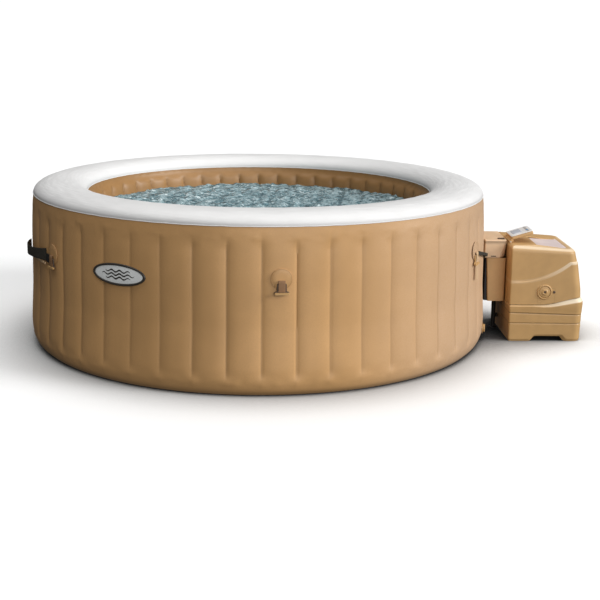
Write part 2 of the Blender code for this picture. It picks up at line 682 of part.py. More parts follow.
def build_duct():
    rows = [head_loop(0.003, 0.4295, 0.0065), head_loop(0.003, 0.3530, 0.028),
            head_loop(0.0, 0.3530, 0.030), head_loop(0.0, 0.4295, 0.0075), head_loop(0.002, 0.4335, 0.0065)]
    head = skin("duct_head", rows, "tan_plastic")
    holes = []
    for s in (-1, 1):
        holes.append(turned("cutter", [(0, 0), (FITTING_R + 0.001, 0), (FITTING_R + 0.001, 0.05), (0, 0.05)],
                            (0.9700, s * FITTING_Y, FITTING_Z), (1, 0, 0), "black_plastic", 14))
    cut(head, holes)
    top = rounded_rect(1.0020, 1.0875, -0.1050, 0.1050, 0.006, 0.3522, 2)
    low = rounded_rect(1.0130, 1.0875, -0.1030, 0.1030, 0.006, 0.1570, 2)
    top_in = rounded_rect(1.0050, 1.0845, -0.1020, 0.1020, 0.004, 0.3522, 2)
    low_in = rounded_rect(1.0160, 1.0845, -0.1000, 0.1000, 0.004, 0.1570, 2)
    leg = skin("duct_leg", [top, low, low_in, top_in], "tan_plastic", closed=True)
    holes = []
    for s in (-1, 1):
        holes.append(turned("cutter", [(0, 0), (PIPE_R + 0.002, 0), (PIPE_R + 0.002, 0.04), (0, 0.04)],
                            (1.0750, s * FITTING_Y, UNIT_ENTRY_Z), (1, 0, 0), "black_plastic", 12))
    cut(leg, holes)
    for name, s in (("suction_pipe", -1), ("return_pipe", 1)):
        y = s * FITTING_Y
        path = bend_path([(1.0160, y, FITTING_Z), (1.0480, y, FITTING_Z), (1.0480, y, UNIT_ENTRY_Z),
                          (1.1250, y, UNIT_ENTRY_Z)], 0.026, 4)
        sweep(name, path, PIPE_R, PIPE_BORE, "black_plastic", 10)
    turned("standpipe", [(0, 0.0), (0.020, 0.0), (0.020, 0.006), (0.0095, 0.012), (0.0095, 0.1750), (0, 0.1750)],
           (1.0700, 0.030, 0), (0, 0, 1), "black_plastic", 14)
    turned("cord_gland", [(0, 0.0), (0.0070, 0.0), (0.0070, 0.014), (0.0105, 0.0145), (0.0105, 0.0230),
                          (0.0, 0.0230)], (UNIT_X0 + 0.014, 0.054, 0.055), (-1, 0, 0), "black_plastic", 12)


# ---------------------------------------------------------------- inside the unit
def bladed(name, centre, axis, slot, hub, tip, low, high, count, thick):
    """A disc with upright blades on it, as one body, from one star-shaped outline."""
    side, up, w = basis(axis)
    c = Vector(centre)

    def ring(radii, h):
        pts = []
        for i in range(count):
            a0 = 2 * math.pi * i / count
            half = thick / tip
            for da, r in ((-half, radii[1]), (half, radii[1]), (half * 1.6, radii[0]),
                          (2 * math.pi / count - half * 1.6, radii[0])):
                a = a0 + da
                pts.append(c + w * h + (side * math.cos(a) + up * math.sin(a)) * r)
        return pts

    mid = low + (high - low) * 0.25
    rows = [ring((tip, tip), low), ring((tip, tip), mid), ring((hub, tip * 0.985), mid + 0.0005),
            ring((hub, tip * 0.985), high)]
    return set_origin(skin(name, rows, slot), centre)


def build_inside():
    pump = (1.200, -0.070, 0.098)
    turned("pump_motor", [(0, 0.052), (0.034, 0.052), (0.038, 0.058), (0.038, 0.140), (0.030, 0.150), (0, 0.150)],
           (pump[0] - 0.02, pump[1], pump[2]), (1, 0, 0), "steel", 18)
    turned("pump_casing", [(0.0, 0.045), (0.046, 0.045), (0.046, 0.0), (0.014, 0.0), (0.014, 0.004), (0.042, 0.004),
                           (0.042, 0.041), (0.0, 0.041)], (pump[0] - 0.02, pump[1], pump[2]), (1, 0, 0),
           "black_plastic", 20)
    bladed("impeller", (pump[0], pump[1], pump[2]), (1, 0, 0), "blue_plastic", 0.010, 0.034, -0.010, 0.012, 5, 0.003)
    turned("heater_tube", [(0.0180, 0.0), (0.026, 0.0), (0.026, 0.190), (0.0180, 0.190)], (1.150, 0.075, 0.098),
           (1, 0, 0), "steel", 16, closed=True)
    turned("blower_housing", [(0.0, 0.0), (0.072, 0.0), (0.074, 0.004), (0.074, 0.058), (0.070, 0.058),
                              (0.070, 0.005), (0.0, 0.005)], (1.245, 0.045, 0.270), (0, 0, 1), "grey_plastic", 24)
    bladed("blower_fan", (1.245, 0.045, 0.300), (0, 0, 1), "white_plastic", 0.020, 0.058, -0.016, 0.018, 8, 0.003)
    box("circuit_board", (1.130, 0.140, 0.235), (1.320, 0.1425, 0.330), "board_green")


for old in list(bpy.data.objects):
    bpy.data.objects.remove(old, do_unlink=True)

build_outer_wall()
build_inner_wall()
build_web()
build_rim()
build_floor()
build_stations()
build_handle("handle_left", (-149.5, -167.0), (0.438, 0.424), 0.028, 0.026, 0.020)
build_handle("handle_right", (-23.5, -8.0), (0.432, 0.372), 0.016, 0.013, 0.011)
build_badge()
build_valves()
build_fittings()
build_base()
build_cover()
build_top_panel()
build_port()
build_panel()
build_duct()
build_inside()
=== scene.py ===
"""Inflatable hot tub and its control unit: the finished surfaces, materials, light and camera."""
import json

import bmesh
import bpy
import numpy as np
from mathutils import Matrix


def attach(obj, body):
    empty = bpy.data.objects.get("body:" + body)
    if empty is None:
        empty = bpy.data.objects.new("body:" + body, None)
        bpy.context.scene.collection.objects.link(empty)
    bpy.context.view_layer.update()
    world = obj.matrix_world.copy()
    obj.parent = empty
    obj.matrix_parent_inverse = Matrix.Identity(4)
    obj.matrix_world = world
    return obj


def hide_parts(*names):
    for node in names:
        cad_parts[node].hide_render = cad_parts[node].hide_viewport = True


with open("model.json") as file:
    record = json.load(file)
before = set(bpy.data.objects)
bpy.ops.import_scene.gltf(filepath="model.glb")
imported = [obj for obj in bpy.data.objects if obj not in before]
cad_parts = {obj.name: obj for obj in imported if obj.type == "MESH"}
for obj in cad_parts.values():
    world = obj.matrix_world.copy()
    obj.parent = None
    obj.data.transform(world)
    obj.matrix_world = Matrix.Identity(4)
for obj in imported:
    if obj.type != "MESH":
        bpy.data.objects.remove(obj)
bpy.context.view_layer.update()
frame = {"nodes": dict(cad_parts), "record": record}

scene = bpy.context.scene
TAU = 2 * np.pi


# ---------------------------------------------------------------- camera
def place_camera(eye, yaw, pitch, roll, lens):
    """A level camera turned by yaw and pitch, then rolled about its own line of sight."""
    ahead = np.array([np.sin(yaw) * np.cos(pitch), np.cos(yaw) * np.cos(pitch), np.sin(pitch)])
    right = np.cross(ahead, [0, 0, 1])
    right /= np.linalg.norm(right)
    up = np.cross(right, ahead)
    side = np.cos(roll) * right + np.sin(roll) * up
    top = np.cos(roll) * up - np.sin(roll) * right
    data = bpy.data.cameras.new("camera")
    data.lens = lens
    data.sensor_width = 36.0
    data.clip_end = 200.0
    camera = bpy.data.objects.new("camera", data)
    turn = np.eye(4)
    turn[:3, 0], turn[:3, 1], turn[:3, 2], turn[:3, 3] = side, top, -ahead, eye
    camera.matrix_world = Matrix(turn.tolist())
    scene.collection.objects.link(camera)
    scene.camera = camera


place_camera((0.0, -5.1934, 1.395), 0.0354, -0.2384, 0.0128, 71.10)


# ---------------------------------------------------------------- materials
class Field:
    """A number that varies over a surface. Its operators add Math nodes."""

    def __init__(self, paint, socket):
        self.paint = paint
        self.socket = socket

    def math(self, operation, *values):
        return self.paint.add("Math", {"operation": operation}, values)

    def __add__(self, other):
        return self.math("ADD", self, other)

    def __radd__(self, other):
        return self.math("ADD", other, self)

    def __sub__(self, other):
        return self.math("SUBTRACT", self, other)

    def __rsub__(self, other):
        return self.math("SUBTRACT", other, self)

    def __mul__(self, other):
        return self.math("MULTIPLY", self, other)

    def __rmul__(self, other):
        return self.math("MULTIPLY", other, self)

    def __abs__(self):
        return self.math("ABSOLUTE", self)

    def most(self, other):
        return self.math("MAXIMUM", self, other)

    def step(self, low, high):
        """0 below low, 1 above high, smooth between."""
        return self.paint.add("MapRange", {"interpolation_type": "SMOOTHSTEP"}, {0: self, 1: low, 2: high})


class Paint:
    """One material: a Principled shader and the nodes that feed it."""

    def __init__(self, name, rough=0.45, **constants):
        self.material = bpy.data.materials.new(name)
        self.material.use_nodes = True
        self.tree = self.material.node_tree
        self.shader = self.tree.nodes["Principled BSDF"]
        self.shader.inputs["Roughness"].default_value = rough
        for key, value in constants.items():
            self.shader.inputs[key.replace("_", " ")].default_value = value
        self.place = self.add("TexCoord", out="Object")

    def add(self, kind, settings=None, inputs=(), out=0):
        """A node of this kind. Settings come first, then its sockets by number or name."""
        node = self.tree.nodes.new("ShaderNode" + kind)
        for key, value in (settings or {}).items():
            setattr(node, key, value)
        pairs = inputs.items() if isinstance(inputs, dict) else enumerate(inputs)
        for key, value in pairs:
            socket = node.inputs[key]
            if isinstance(value, Field):
                self.tree.links.new(value.socket, socket)
            elif isinstance(value, (tuple, list)) and len(value) == 3 and socket.type == "RGBA":
                socket.default_value = (*value, 1.0)
            else:
                socket.default_value = value
        return Field(self, node.outputs[out])

    def noise(self, scale, detail=2.0, rough=0.5, at=None):
        return self.add("TexNoise", {}, {"Vector": at or self.place, "Scale": scale, "Detail": detail,
                                         "Roughness": rough})

    def mark(self, name):
        return self.add("Attribute", {"attribute_name": name}, out="Fac")

    def axis(self, letter):
        return self.add("SeparateXYZ", {}, {0: self.place}, out=letter)

    def stretch(self, scale):
        return self.add("Mapping", {}, {"Vector": self.place, "Scale": scale})

    def mix(self, share, a, b):
        return self.add("Mix", {"data_type": "RGBA"}, {0: share, 6: a, 7: b}, out=2)

    def feed(self, **fields):
        for key, value in fields.items():
            self.tree.links.new(value.socket, self.shader.inputs[key.replace("_", " ")])
        return self.material

    def bump(self, height, distance, strength=1.0):
        return self.add("Bump", {}, {"Height": height, "Distance": distance, "Strength": strength})


def shade(colour, factor):
    return tuple(min(1.0, c * factor) for c in colour)


TAN = (0.57, 0.325, 0.135)
TAN_PLASTIC = (0.56, 0.340, 0.140)
RIM_WHITE = (0.740, 0.735, 0.728)
# Paler tan for the painted sheen on the lit +X side
PAINTED_SHEEN_TAN = (0.57, 0.385, 0.245)
# Pale cream for the painted highlight on edges
PAINTED_EDGE_HIGHLIGHT = (0.96, 0.84, 0.64)
FLOOR_SHADOW = (0.02, 0.022, 0.024)


def tan_vinyl(name, colour=TAN, painted_sheen=1.0):
    """Grained sheet: blotches, a fine leather grain, darker weld lines, and a painted sheen: paler towards
    +X, the lit side.
    """
    p = Paint(name, 0.46, Specular_IOR_Level=0.45)
    blotch = p.noise(3.5, 3.0, 0.6)
    grain = p.noise(520.0, 2.0, 0.6)
    pores = p.noise(190.0, 2.0, 0.5)
    weld = p.mark("weld")
    base = p.mix(blotch.step(0.3, 0.7), shade(colour, 0.93), shade(colour, 1.06))
    # Painted sheen: the tan turns paler towards +X, where the light falls
    base = p.mix(p.axis("X").step(0.25, 0.98) * painted_sheen, base, PAINTED_SHEEN_TAN)
    base = p.mix(pores.step(0.35, 0.75) * 0.35, base, shade(colour, 0.9))
    base = p.mix(weld * 0.42, base, shade(colour, 0.52))
    height = grain * 0.6 + pores * 0.4
    return p.feed(Base_Color=base, Roughness=0.40 + blotch * 0.12,
                  Normal=p.bump(height, 0.00035, 0.8))


def rim_vinyl():
    """White sheet with a soft sheen, a fine grain and faint folds."""
    p = Paint("rim_vinyl", 0.5, Specular_IOR_Level=0.4)
    folds = p.noise(9.0, 2.0, 0.5)
    grain = p.noise(430.0, 2.0, 0.6)
    base = p.mix(folds.step(0.3, 0.7), shade(RIM_WHITE, 0.965), RIM_WHITE)
    base = p.mix(p.mark("weld") * 0.55, base, shade(RIM_WHITE, 0.72))
    return p.feed(Base_Color=base, Roughness=0.44 + folds * 0.14,
                  Normal=p.bump(grain + folds * 2.0, 0.0004, 0.7))


def moulded(name, colour, rough=0.42, depth=0.00018, lines=None):
    """Moulded plastic: a fine stipple, slight flow marks, a painted highlight on marked edges, painted shade
    in marked grooves, and any parting lines.
    """
    p = Paint(name, rough, Specular_IOR_Level=0.45)
    flow = p.noise(14.0, 3.0, 0.55)
    stipple = p.noise(900.0, 1.0, 0.5)
    base = p.mix(flow.step(0.3, 0.7), shade(colour, 0.95), shade(colour, 1.04))
    # Painted highlight: the marked edges turn pale cream
    base = p.mix(p.mark("edge") * 0.88, base, PAINTED_EDGE_HIGHLIGHT)
    # Painted shade: the marked grooves turn dark
    base = p.mix(p.mark("cut") * 0.7, base, shade(colour, 0.3))
    height = stipple
    if lines:
        cut = lines(p)
        base = p.mix(cut * 0.35, base, shade(colour, 0.45))
        height = height - cut * 3.0
    return p.feed(Base_Color=base, Roughness=(rough - 0.05) + flow * 0.1, Normal=p.bump(height, depth, 0.8))


def webbing(name, colour):
    """Woven strap: ribs along the strap's length crossed by a finer pick."""
    p = Paint(name, 0.7)
    ribs = p.add("TexWave", {"bands_direction": "Z"},
                 {"Vector": p.place, "Scale": 170.0, "Distortion": 0.6})
    picks = p.noise(700.0, 1.0, 0.5)
    base = p.mix(ribs * 0.5, shade(colour, 1.08), shade(colour, 0.72))
    return p.feed(Base_Color=base, Roughness=0.62 + picks * 0.15,
                  Normal=p.bump(ribs + picks * 0.5, 0.0005, 0.8))


def foaming_water():
    """Teal water broken by crossed ripples, with white froth where they meet."""
    p = Paint("foaming_water", 0.12, Specular_IOR_Level=0.5)
    near = p.stretch((0.6, 1.25, 0.4))
    chop = p.noise(42.0, 5.0, 0.62, near)
    fine = p.noise(150.0, 3.0, 0.6, near)
    crest = p.mark("crest")
    froth = (chop * 0.5 + fine * 0.5 + crest * 0.16).step(0.40, 0.64)
    spray = (chop * 0.4 + fine * 0.6).step(0.545, 0.635)
    deep = p.mix(chop.step(0.25, 0.6), (0.012, 0.045, 0.060), (0.075, 0.165, 0.190))
    base = p.mix(froth * 0.62, deep, (0.36, 0.49, 0.52))
    base = p.mix(spray * 0.88, base, (0.80, 0.88, 0.89))
    return p.feed(Base_Color=base, Roughness=0.10 + froth * 0.4,
                  Normal=p.bump(chop + fine * 0.8, 0.006, 0.8))


def pleated_paper():
    p = Paint("pleated_paper", 0.9)
    pleats = p.noise(160.0, 1.0, 0.5, p.stretch((0.05, 1.0, 1.0)))
    base = p.mix(pleats.step(0.35, 0.65), (0.62, 0.66, 0.70), (0.86, 0.88, 0.90))
    return p.feed(Base_Color=base, Normal=p.bump(pleats, 0.002))


def brushed_steel():
    p = Paint("brushed_steel", 0.3, Metallic=1.0)
    streak = p.noise(220.0, 2.0, 0.6, p.stretch((0.06, 1.0, 1.0)))
    base = p.mix(streak, (0.46, 0.46, 0.47), (0.64, 0.64, 0.65))
    return p.feed(Base_Color=base, Roughness=0.22 + streak * 0.2, Normal=p.bump(streak, 0.0001))


def circuit_green():
    p = Paint("circuit_green", 0.4)
    tracks = p.add("TexBrick", {}, {"Vector": p.place, "Scale": 60.0, "Mortar Size": 0.03}, out="Fac")
    base = p.mix(tracks, (0.03, 0.16, 0.07), (0.10, 0.34, 0.16))
    return p.feed(Base_Color=base, Roughness=0.35 + tracks * 0.2)


def display_lens():
    """A pale liquid-crystal window: a fine grid of cells under a glossy face."""
    p = Paint("display_lens", 0.1, Specular_IOR_Level=0.6)
    cells = p.add("TexWave", {"bands_direction": "Y"}, {"Vector": p.place, "Scale": 130.0})
    haze = p.noise(60.0, 2.0, 0.5)
    base = p.mix(cells * 0.3 + haze * 0.3, (0.66, 0.70, 0.78), (0.50, 0.54, 0.62))
    return p.feed(Base_Color=base, Roughness=0.06 + haze * 0.06)


def flap_lines(p):
    """A rounded rectangle round the air port, as a thin cut: the distance to its outline."""
    x = abs(p.axis("X") - 1.2500) - 0.0380
    z = abs(p.axis("Z") - 0.2050) - 0.0330
    front = (-0.15 - p.axis("Y")).step(0.0, 0.01)
    return (1.0 - abs(x.most(z)).step(0.0003, 0.0013)) * front


tub_skin = tan_vinyl("tub_skin")
# A darker copy of the tub's tan, with no sheen: painted shade for the inside of the tub
inner_skin = tan_vinyl("inner_skin", (0.325, 0.172, 0.062), 0.0)
rim_skin = rim_vinyl()
cover_plastic = moulded("cover_plastic", TAN_PLASTIC, lines=flap_lines)
tan_plastic = moulded("tan_moulding", TAN_PLASTIC)
duct_plastic = moulded("duct_plastic", (0.78, 0.56, 0.36))
leg_plastic = moulded("leg_plastic", (0.62, 0.38, 0.17))
top_grey = moulded("top_grey", (0.74, 0.62, 0.595), 0.38)
strap_brown = moulded("strap_brown", (0.10, 0.062, 0.04))
badge_pale = moulded("badge_pale", (0.86, 0.88, 0.87), 0.3)
badge_dark = moulded("badge_dark", (0.045, 0.040, 0.034), 0.35)
grey_plastic = moulded("grey_moulding", (0.40, 0.38, 0.36))
black_plastic = moulded("black_moulding", (0.014, 0.014, 0.014))
white_plastic = moulded("white_moulding", (0.86, 0.86, 0.855), 0.3)
blue_plastic = moulded("blue_moulding", (0.08, 0.22, 0.42), 0.35)
strap_weave = webbing("strap_weave", (0.30, 0.16, 0.075))
pale_weave = webbing("pale_weave", (0.62, 0.42, 0.24))
dark_weave = webbing("dark_weave", (0.030, 0.026, 0.018))
water_look = foaming_water()
slot_looks = {
    "tan_vinyl": tub_skin, "white_vinyl": rim_skin, "tan_plastic": tan_plastic, "brown_plastic": strap_brown,
    "black_plastic": black_plastic, "white_plastic": white_plastic, "grey_plastic": grey_plastic,
    "blue_plastic": blue_plastic, "dark_lens": display_lens(), "steel": brushed_steel(),
    "filter_paper": pleated_paper(), "board_green": circuit_green(),
}
node_slot = {d["node"]: d["material_slot"] for d in frame["record"]["subparts"]}
for node, obj in frame["nodes"].items():
    for k in range(len(obj.material_slots)):
        obj.material_slots[k].material = slot_looks[node_slot[node]]


# ---------------------------------------------------------------- surfaces
def surface(name, points, look, body="tub", stands_for=(), slot=None, rows_close=False, marks=None,
            sharp=38.0):
    """Quads over a grid of points, rows by columns, with the columns joined into loops.

    The first and last rows are closed by a fan to their centre, or joined to each other.
    """
    rows, cols = points.shape[:2]
    at = np.arange(rows * cols).reshape(rows, cols)
    low = at if rows_close else at[:-1]
    high = np.roll(at, -1, 0) if rows_close else at[1:]
    quads = np.stack([low, np.roll(low, -1, 1), np.roll(high, -1, 1), high], -1).reshape(-1, 4)
    flat = points.reshape(-1, 3)
    faces = quads.tolist()
    if not rows_close:
        flat = np.vstack([flat, points[0].mean(0), points[-1].mean(0)])
        pole = rows * cols
        first = np.stack([np.roll(at[0], -1), at[0], np.full(cols, pole)], -1)
        last = np.stack([at[-1], np.roll(at[-1], -1), np.full(cols, pole + 1)], -1)
        faces += first.tolist() + last.tolist()
    mesh = bpy.data.meshes.new(name)
    mesh.from_pydata(flat.tolist(), [], faces)
    for key, values in (marks or {}).items():
        grid = np.broadcast_to(values, (rows, cols))
        values = grid.ravel()
        if not rows_close:
            values = np.append(values, [grid[0].mean(), grid[-1].mean()])
        mesh.attributes.new(key, "FLOAT", "POINT").data.foreach_set("value", values.astype(np.float32))
    tidy = bmesh.new()
    tidy.from_mesh(mesh)
    bmesh.ops.remove_doubles(tidy, verts=tidy.verts, dist=1e-6)
    if tidy.calc_volume(signed=True) < 0:
        bmesh.ops.reverse_faces(tidy, faces=tidy.faces)
    tidy.to_mesh(mesh)
    tidy.free()
    mesh.shade_smooth()
    mesh.set_sharp_from_angle(angle=np.radians(sharp))
    mesh.materials.append(look)
    piece = bpy.data.objects.new(name, mesh)
    scene.collection.objects.link(piece)
    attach(piece, body)
    if stands_for:
        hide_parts(*stands_for)
    return piece


def smooth(t, low=0.0, high=1.0):
    """0 below low, 1 above high, 3t^2 - 2t^3 between."""
    t = np.clip((t - low) / (high - low), 0.0, 1.0)
    return t * t * (3.0 - 2.0 * t)


def soften(points, radius, closed=True, steps=4):
    """A polyline with each corner replaced by a quadratic arc that starts one radius away from it."""
    p = np.asarray(points, float)
    back, ahead = np.roll(p, 1, 0) - p, np.roll(p, -1, 0) - p
    back_len = np.linalg.norm(back, axis=1, keepdims=True)
    ahead_len = np.linalg.norm(ahead, axis=1, keepdims=True)
    start = p + back / back_len * np.minimum(radius, 0.45 * back_len)
    stop = p + ahead / ahead_len * np.minimum(radius, 0.45 * ahead_len)
    t = np.linspace(0, 1, steps + 1)[None, :, None]
    arcs = start[:, None] * (1 - t) ** 2 + p[:, None] * 2 * t * (1 - t) + stop[:, None] * t * t
    if closed:
        return arcs.reshape(-1, p.shape[1])
    return np.vstack([p[:1], arcs[1:-1].reshape(-1, p.shape[1]), p[-1:]])


def ease(points, count, width):
    """A polyline sampled evenly along its length, then averaged over a width in samples."""
    p = np.asarray(points, float)
    along = np.append(0.0, np.cumsum(np.linalg.norm(np.diff(p, axis=0), axis=1)))
    t = np.linspace(0, along[-1], count)
    out = np.stack([np.interp(t, along, p[:, k]) for k in range(p.shape[1])], -1)
    kernel = np.hanning(width + 2)[1:-1]
    kernel /= kernel.sum()
    padded = np.pad(out, ((width // 2, width // 2), (0, 0)), mode="reflect", reflect_type="odd")
    return np.stack([np.convolve(padded[:, k], kernel, "valid") for k in range(p.shape[1])], -1)


def waves(seed, count, low, high, *axes):
    """A sum of sines with seeded directions, phases and wave numbers from low to high, near -1 to 1."""
    rng = np.random.default_rng(seed)
    total = 0.0
    for _ in range(count):
        way = rng.normal(size=len(axes))
        way *= rng.uniform(low, high) / np.linalg.norm(way)
        total = total + np.sin(sum(w * a for w, a in zip(way, axes)) + rng.uniform(0, TAU))
    return total / np.sqrt(count)


def polar(r, az, z):
    r, az, z = np.broadcast_arrays(r, az, z)
    return np.stack([r * np.cos(az), r * np.sin(az), z], -1)


def basis(axis):
    """Two unit vectors across an axis, the first one level where it can be."""
    w = np.asarray(axis, float) / np.linalg.norm(axis)
    side = np.cross([0, 0, 1], w)
    side = np.array([1.0, 0, 0]) if np.linalg.norm(side) < 1e-6 else side / np.linalg.norm(side)
    return side, np.cross(w, side), w


def turned(name, profile, origin, axis, look, round_off=0.001, ring=False, steps=64, ripple=None, **more):
    """A profile of radius and height carried round an axis: origin + w h + r (side cos a + up sin a)."""
    p = soften(profile, round_off, closed=ring)
    side, up, w = basis(axis)
    a = np.arange(steps) * TAU / steps
    r = np.broadcast_to(p[:, 0, None], (len(p), steps))
    h = p[:, 1, None]
    if ripple is not None:
        r = r + ripple(a[None, :], h) * (r > 0.5 * p[:, 0].max())
    points = (np.asarray(origin, float) + w * h[..., None]
              + r[..., None] * (side * np.cos(a)[:, None] + up * np.sin(a)[:, None])[None])
    return surface(name, points, look, rows_close=ring, **more)


def out_from(az):
    return np.array([np.cos(az), np.sin(az), 0.0])


# ---------------------------------------------------------------- tub
PANELS = 48
SEAM_AZ = np.radians(-149.4)
WALL_LINE = [(0.9660, 0.0006), (0.9860, 0.0180), (0.9960, 0.0500), (0.9995, 0.1000), (0.9960, 0.1600),
             (0.9890, 0.2600), (0.9875, 0.3600), (0.9862, 0.4600), (0.9830, 0.5300), (0.9795, 0.5750),
             (0.9772, 0.6100), (0.9742, 0.6395)]
INNER_LINE = [(0.7478, 0.6362), (0.7472, 0.6260), (0.7440, 0.6130), (0.7330, 0.6020), (0.7262, 0.5850),
              (0.7240, 0.5500), (0.7240, 0.1000), (0.7420, 0.0130)]


def panel_phase(az):
    """0 and 1 at the weld on either side of a panel, and the panel's number."""
    turn = (az - SEAM_AZ) / (TAU / PANELS)
    return turn % 1.0, np.floor(turn) % PANELS


def make_outer_wall():
    """Radius = wall line - weld depth |2p - 1|^2.8, with puckers where each weld ends."""
    line = ease(WALL_LINE, 76, 5)
    az = SEAM_AZ + np.arange(PANELS * 20) * TAU / (PANELS * 20)
    r, z = line[:, 0, None], line[:, 1, None]
    p, number = panel_phase(az)
    rng = np.random.default_rng(5)
    fill = rng.uniform(0.85, 1.15, PANELS)[number.astype(int)]
    top_end = 0.590 + 0.006 * rng.uniform(-1, 1, PANELS)[number.astype(int)]
    held = smooth(z, 0.050, 0.100) * (1.0 - smooth(z, top_end - 0.040, top_end + 0.016))
    side = np.abs(2 * p - 1)
    sunk = 0.0068 * fill * side ** 2.8
    crease = np.exp(-((1 - side) / 0.055) ** 2)
    near_top = np.exp(-((z - top_end - 0.006) / 0.018) ** 2)
    near_foot = np.exp(-((z - 0.055) / 0.020) ** 2)
    fine = waves(11, 9, 60, 190, az, z * 2.0)
    slack = waves(12, 6, 10, 30, az, z * 1.5)
    rise = (0.0006 * near_top * fine * (0.5 + side) + 0.0018 * near_foot * side ** 3
            + 0.0005 * near_foot * fine
            + 0.0006 * slack * smooth(z, 0.02, 0.1) * (1 - smooth(z, 0.60, 0.635)))
    radius = r - (sunk + 0.0011 * crease) * held + rise
    outer = polar(radius, az, z)
    inner = polar(line[::-6, 0, None] - 0.010, az, np.clip(line[::-6, 1, None], 0.004, 0.637))
    points = np.concatenate([outer, inner])
    weld = np.concatenate([np.exp(-((1 - side) / 0.035) ** 2) * held, np.zeros((len(inner), len(az)))])
    piece = surface("outer_skin", points, tub_skin, stands_for=("outer_wall",), rows_close=True,
                    marks={"weld": weld}, sharp=60)


def make_inner_wall():
    """The same welds seen from inside: radius = inner line + weld depth |2p - 1|^3."""
    line = ease(INNER_LINE, 64, 3)
    az = SEAM_AZ + np.arange(PANELS * 16) * TAU / (PANELS * 16)
    r, z = line[:, 0, None], line[:, 1, None]
    p, _ = panel_phase(az)
    side = np.abs(2 * p - 1)
    arch = 0.6100 - 0.004 * side ** 3
    held = smooth(z, 0.03, 0.08) * (1.0 - smooth(z, arch - 0.018, arch))
    swell = -0.0015 * held * (1 - side ** 2)
    fine = waves(21, 8, 40, 140, az, z * 2)
    radius = r + (0.0095 * side ** 3.0) * held + swell + 0.0005 * fine * smooth(z, 0.58, 0.61)
    back = polar(line[::-6, 0, None] + 0.0066, az, line[::-6, 1, None])
    points = np.concatenate([polar(radius, az, z), back])
    weld = np.concatenate([np.exp(-((1 - side) / 0.05) ** 2) * held, np.zeros((len(back), len(az)))])
    piece = surface("inner_skin", points, inner_skin, stands_for=("inner_wall",), rows_close=True,
                    marks={"weld": weld}, sharp=60)


def make_rim():
    """A dome |u|^p + |v|^p = 1 with p = 2.3 over both walls, on a small weld bead at each edge."""
    t = np.linspace(0, np.pi, 60)
    u = np.sign(np.cos(t)) * np.abs(np.cos(t)) ** (2 / 2.3)
    v = np.sin(t) ** (2 / 2.3)
    base = 0.6368 + (0.6404 - 0.6368) * (u + 1) / 2
    az = np.arange(480) * TAU / 480
    fold = waves(31, 10, 14, 60, az[None, :], u[:, None] * 2.5)
    gather = waves(32, 12, 60, 170, az[None, :], u[:, None] * 3)
    edge = np.exp(-((1 - np.abs(u)) / 0.12) ** 2)[:, None]
    r = 0.861 + 0.1128 * u[:, None] + 0 * az
    z = base[:, None] + (0.6868 - base[:, None]) * v[:, None]
    z = z + 0.0007 * fold * v[:, None] + 0.0004 * gather * edge * v[:, None]
    top = polar(r, az, z)
    under = polar(0.861 + 0.108 * u[::-4, None], az, base[::-4, None] + 0.038 * v[::-4, None] + 0.0002)
    points = np.concatenate([top, under])
    weld = np.concatenate([np.exp(-((1 - np.abs(u)) / 0.012) ** 2)[:, None] * np.ones_like(r),
                           np.zeros((len(under), len(az)))])
    piece = surface("rim_skin", points, rim_skin, stands_for=("top_rim",), rows_close=True,
                    marks={"weld": weld}, sharp=70)
    for name, r0, z0 in (("outer_bead", 0.9748, 0.6402), ("inner_bead", 0.7474, 0.6366)):
        a = np.arange(10)[:, None] * TAU / 10
        ring = polar(r0 + 0.0016 * np.cos(a), az, z0 + 0.0014 * np.sin(a) + 0.0003 * gather[:1])
        surface(name, ring, rim_skin, rows_close=True, slot="white_vinyl",
                marks={"weld": np.zeros((10, 480))})


def make_water():
    """Height = level + crossed ripples, on rings that close in the middle, with a flat underside."""
    level = 0.552
    share = np.linspace(0.004, 1, 210)[:, None]
    az = np.arange(420) * TAU / 420
    x, y = share * 0.724 * np.cos(az), share * 0.724 * np.sin(az)
    chop = waves(41, 26, 45, 150, x, y)
    swell = waves(42, 8, 8, 24, x, y)
    height = 0.0030 * chop + 0.0034 * np.abs(waves(43, 18, 90, 230, x, y)) + 0.003 * swell
    top = np.stack([x, y, level + height], -1)
    low = np.stack([x, y, np.full_like(x, level - 0.03)], -1)[::-30]
    crest = np.concatenate([chop, np.zeros((len(low), 420))])
    surface("water", np.concatenate([top, low]), water_look, marks={"crest": crest * 0.5},
            slot="blue_plastic",
            sharp=80)


def make_ground_pad():
    """A flat bottom sheet: r from its centre to its edge, with ring and spoke welds pressed up into it."""
    share = np.linspace(0.01, 1, 90)[:, None]
    az = np.arange(192) * TAU / 192
    r = share * 0.9478 + 0 * az
    rings = np.exp(-((r % 0.158 - 0.079) / 0.006) ** 2)
    spokes = np.exp(-((az * 24 / TAU % 1 - 0.5) * r / 0.012) ** 2) * smooth(r, 0.2, 0.3)
    lift = 0.0022 * np.maximum(rings, spokes) * (1 - smooth(share, 0.97, 1.0))
    low = polar(r, az, lift)
    high = polar(r[::-12], az, 0.0118)
    weld = np.concatenate([np.maximum(rings, spokes), np.zeros((len(high), 192))])
    piece = surface("ground_sheet", np.concatenate([low, high]), tub_skin, stands_for=("tub_bottom_pad",),
                    marks={"weld": weld})


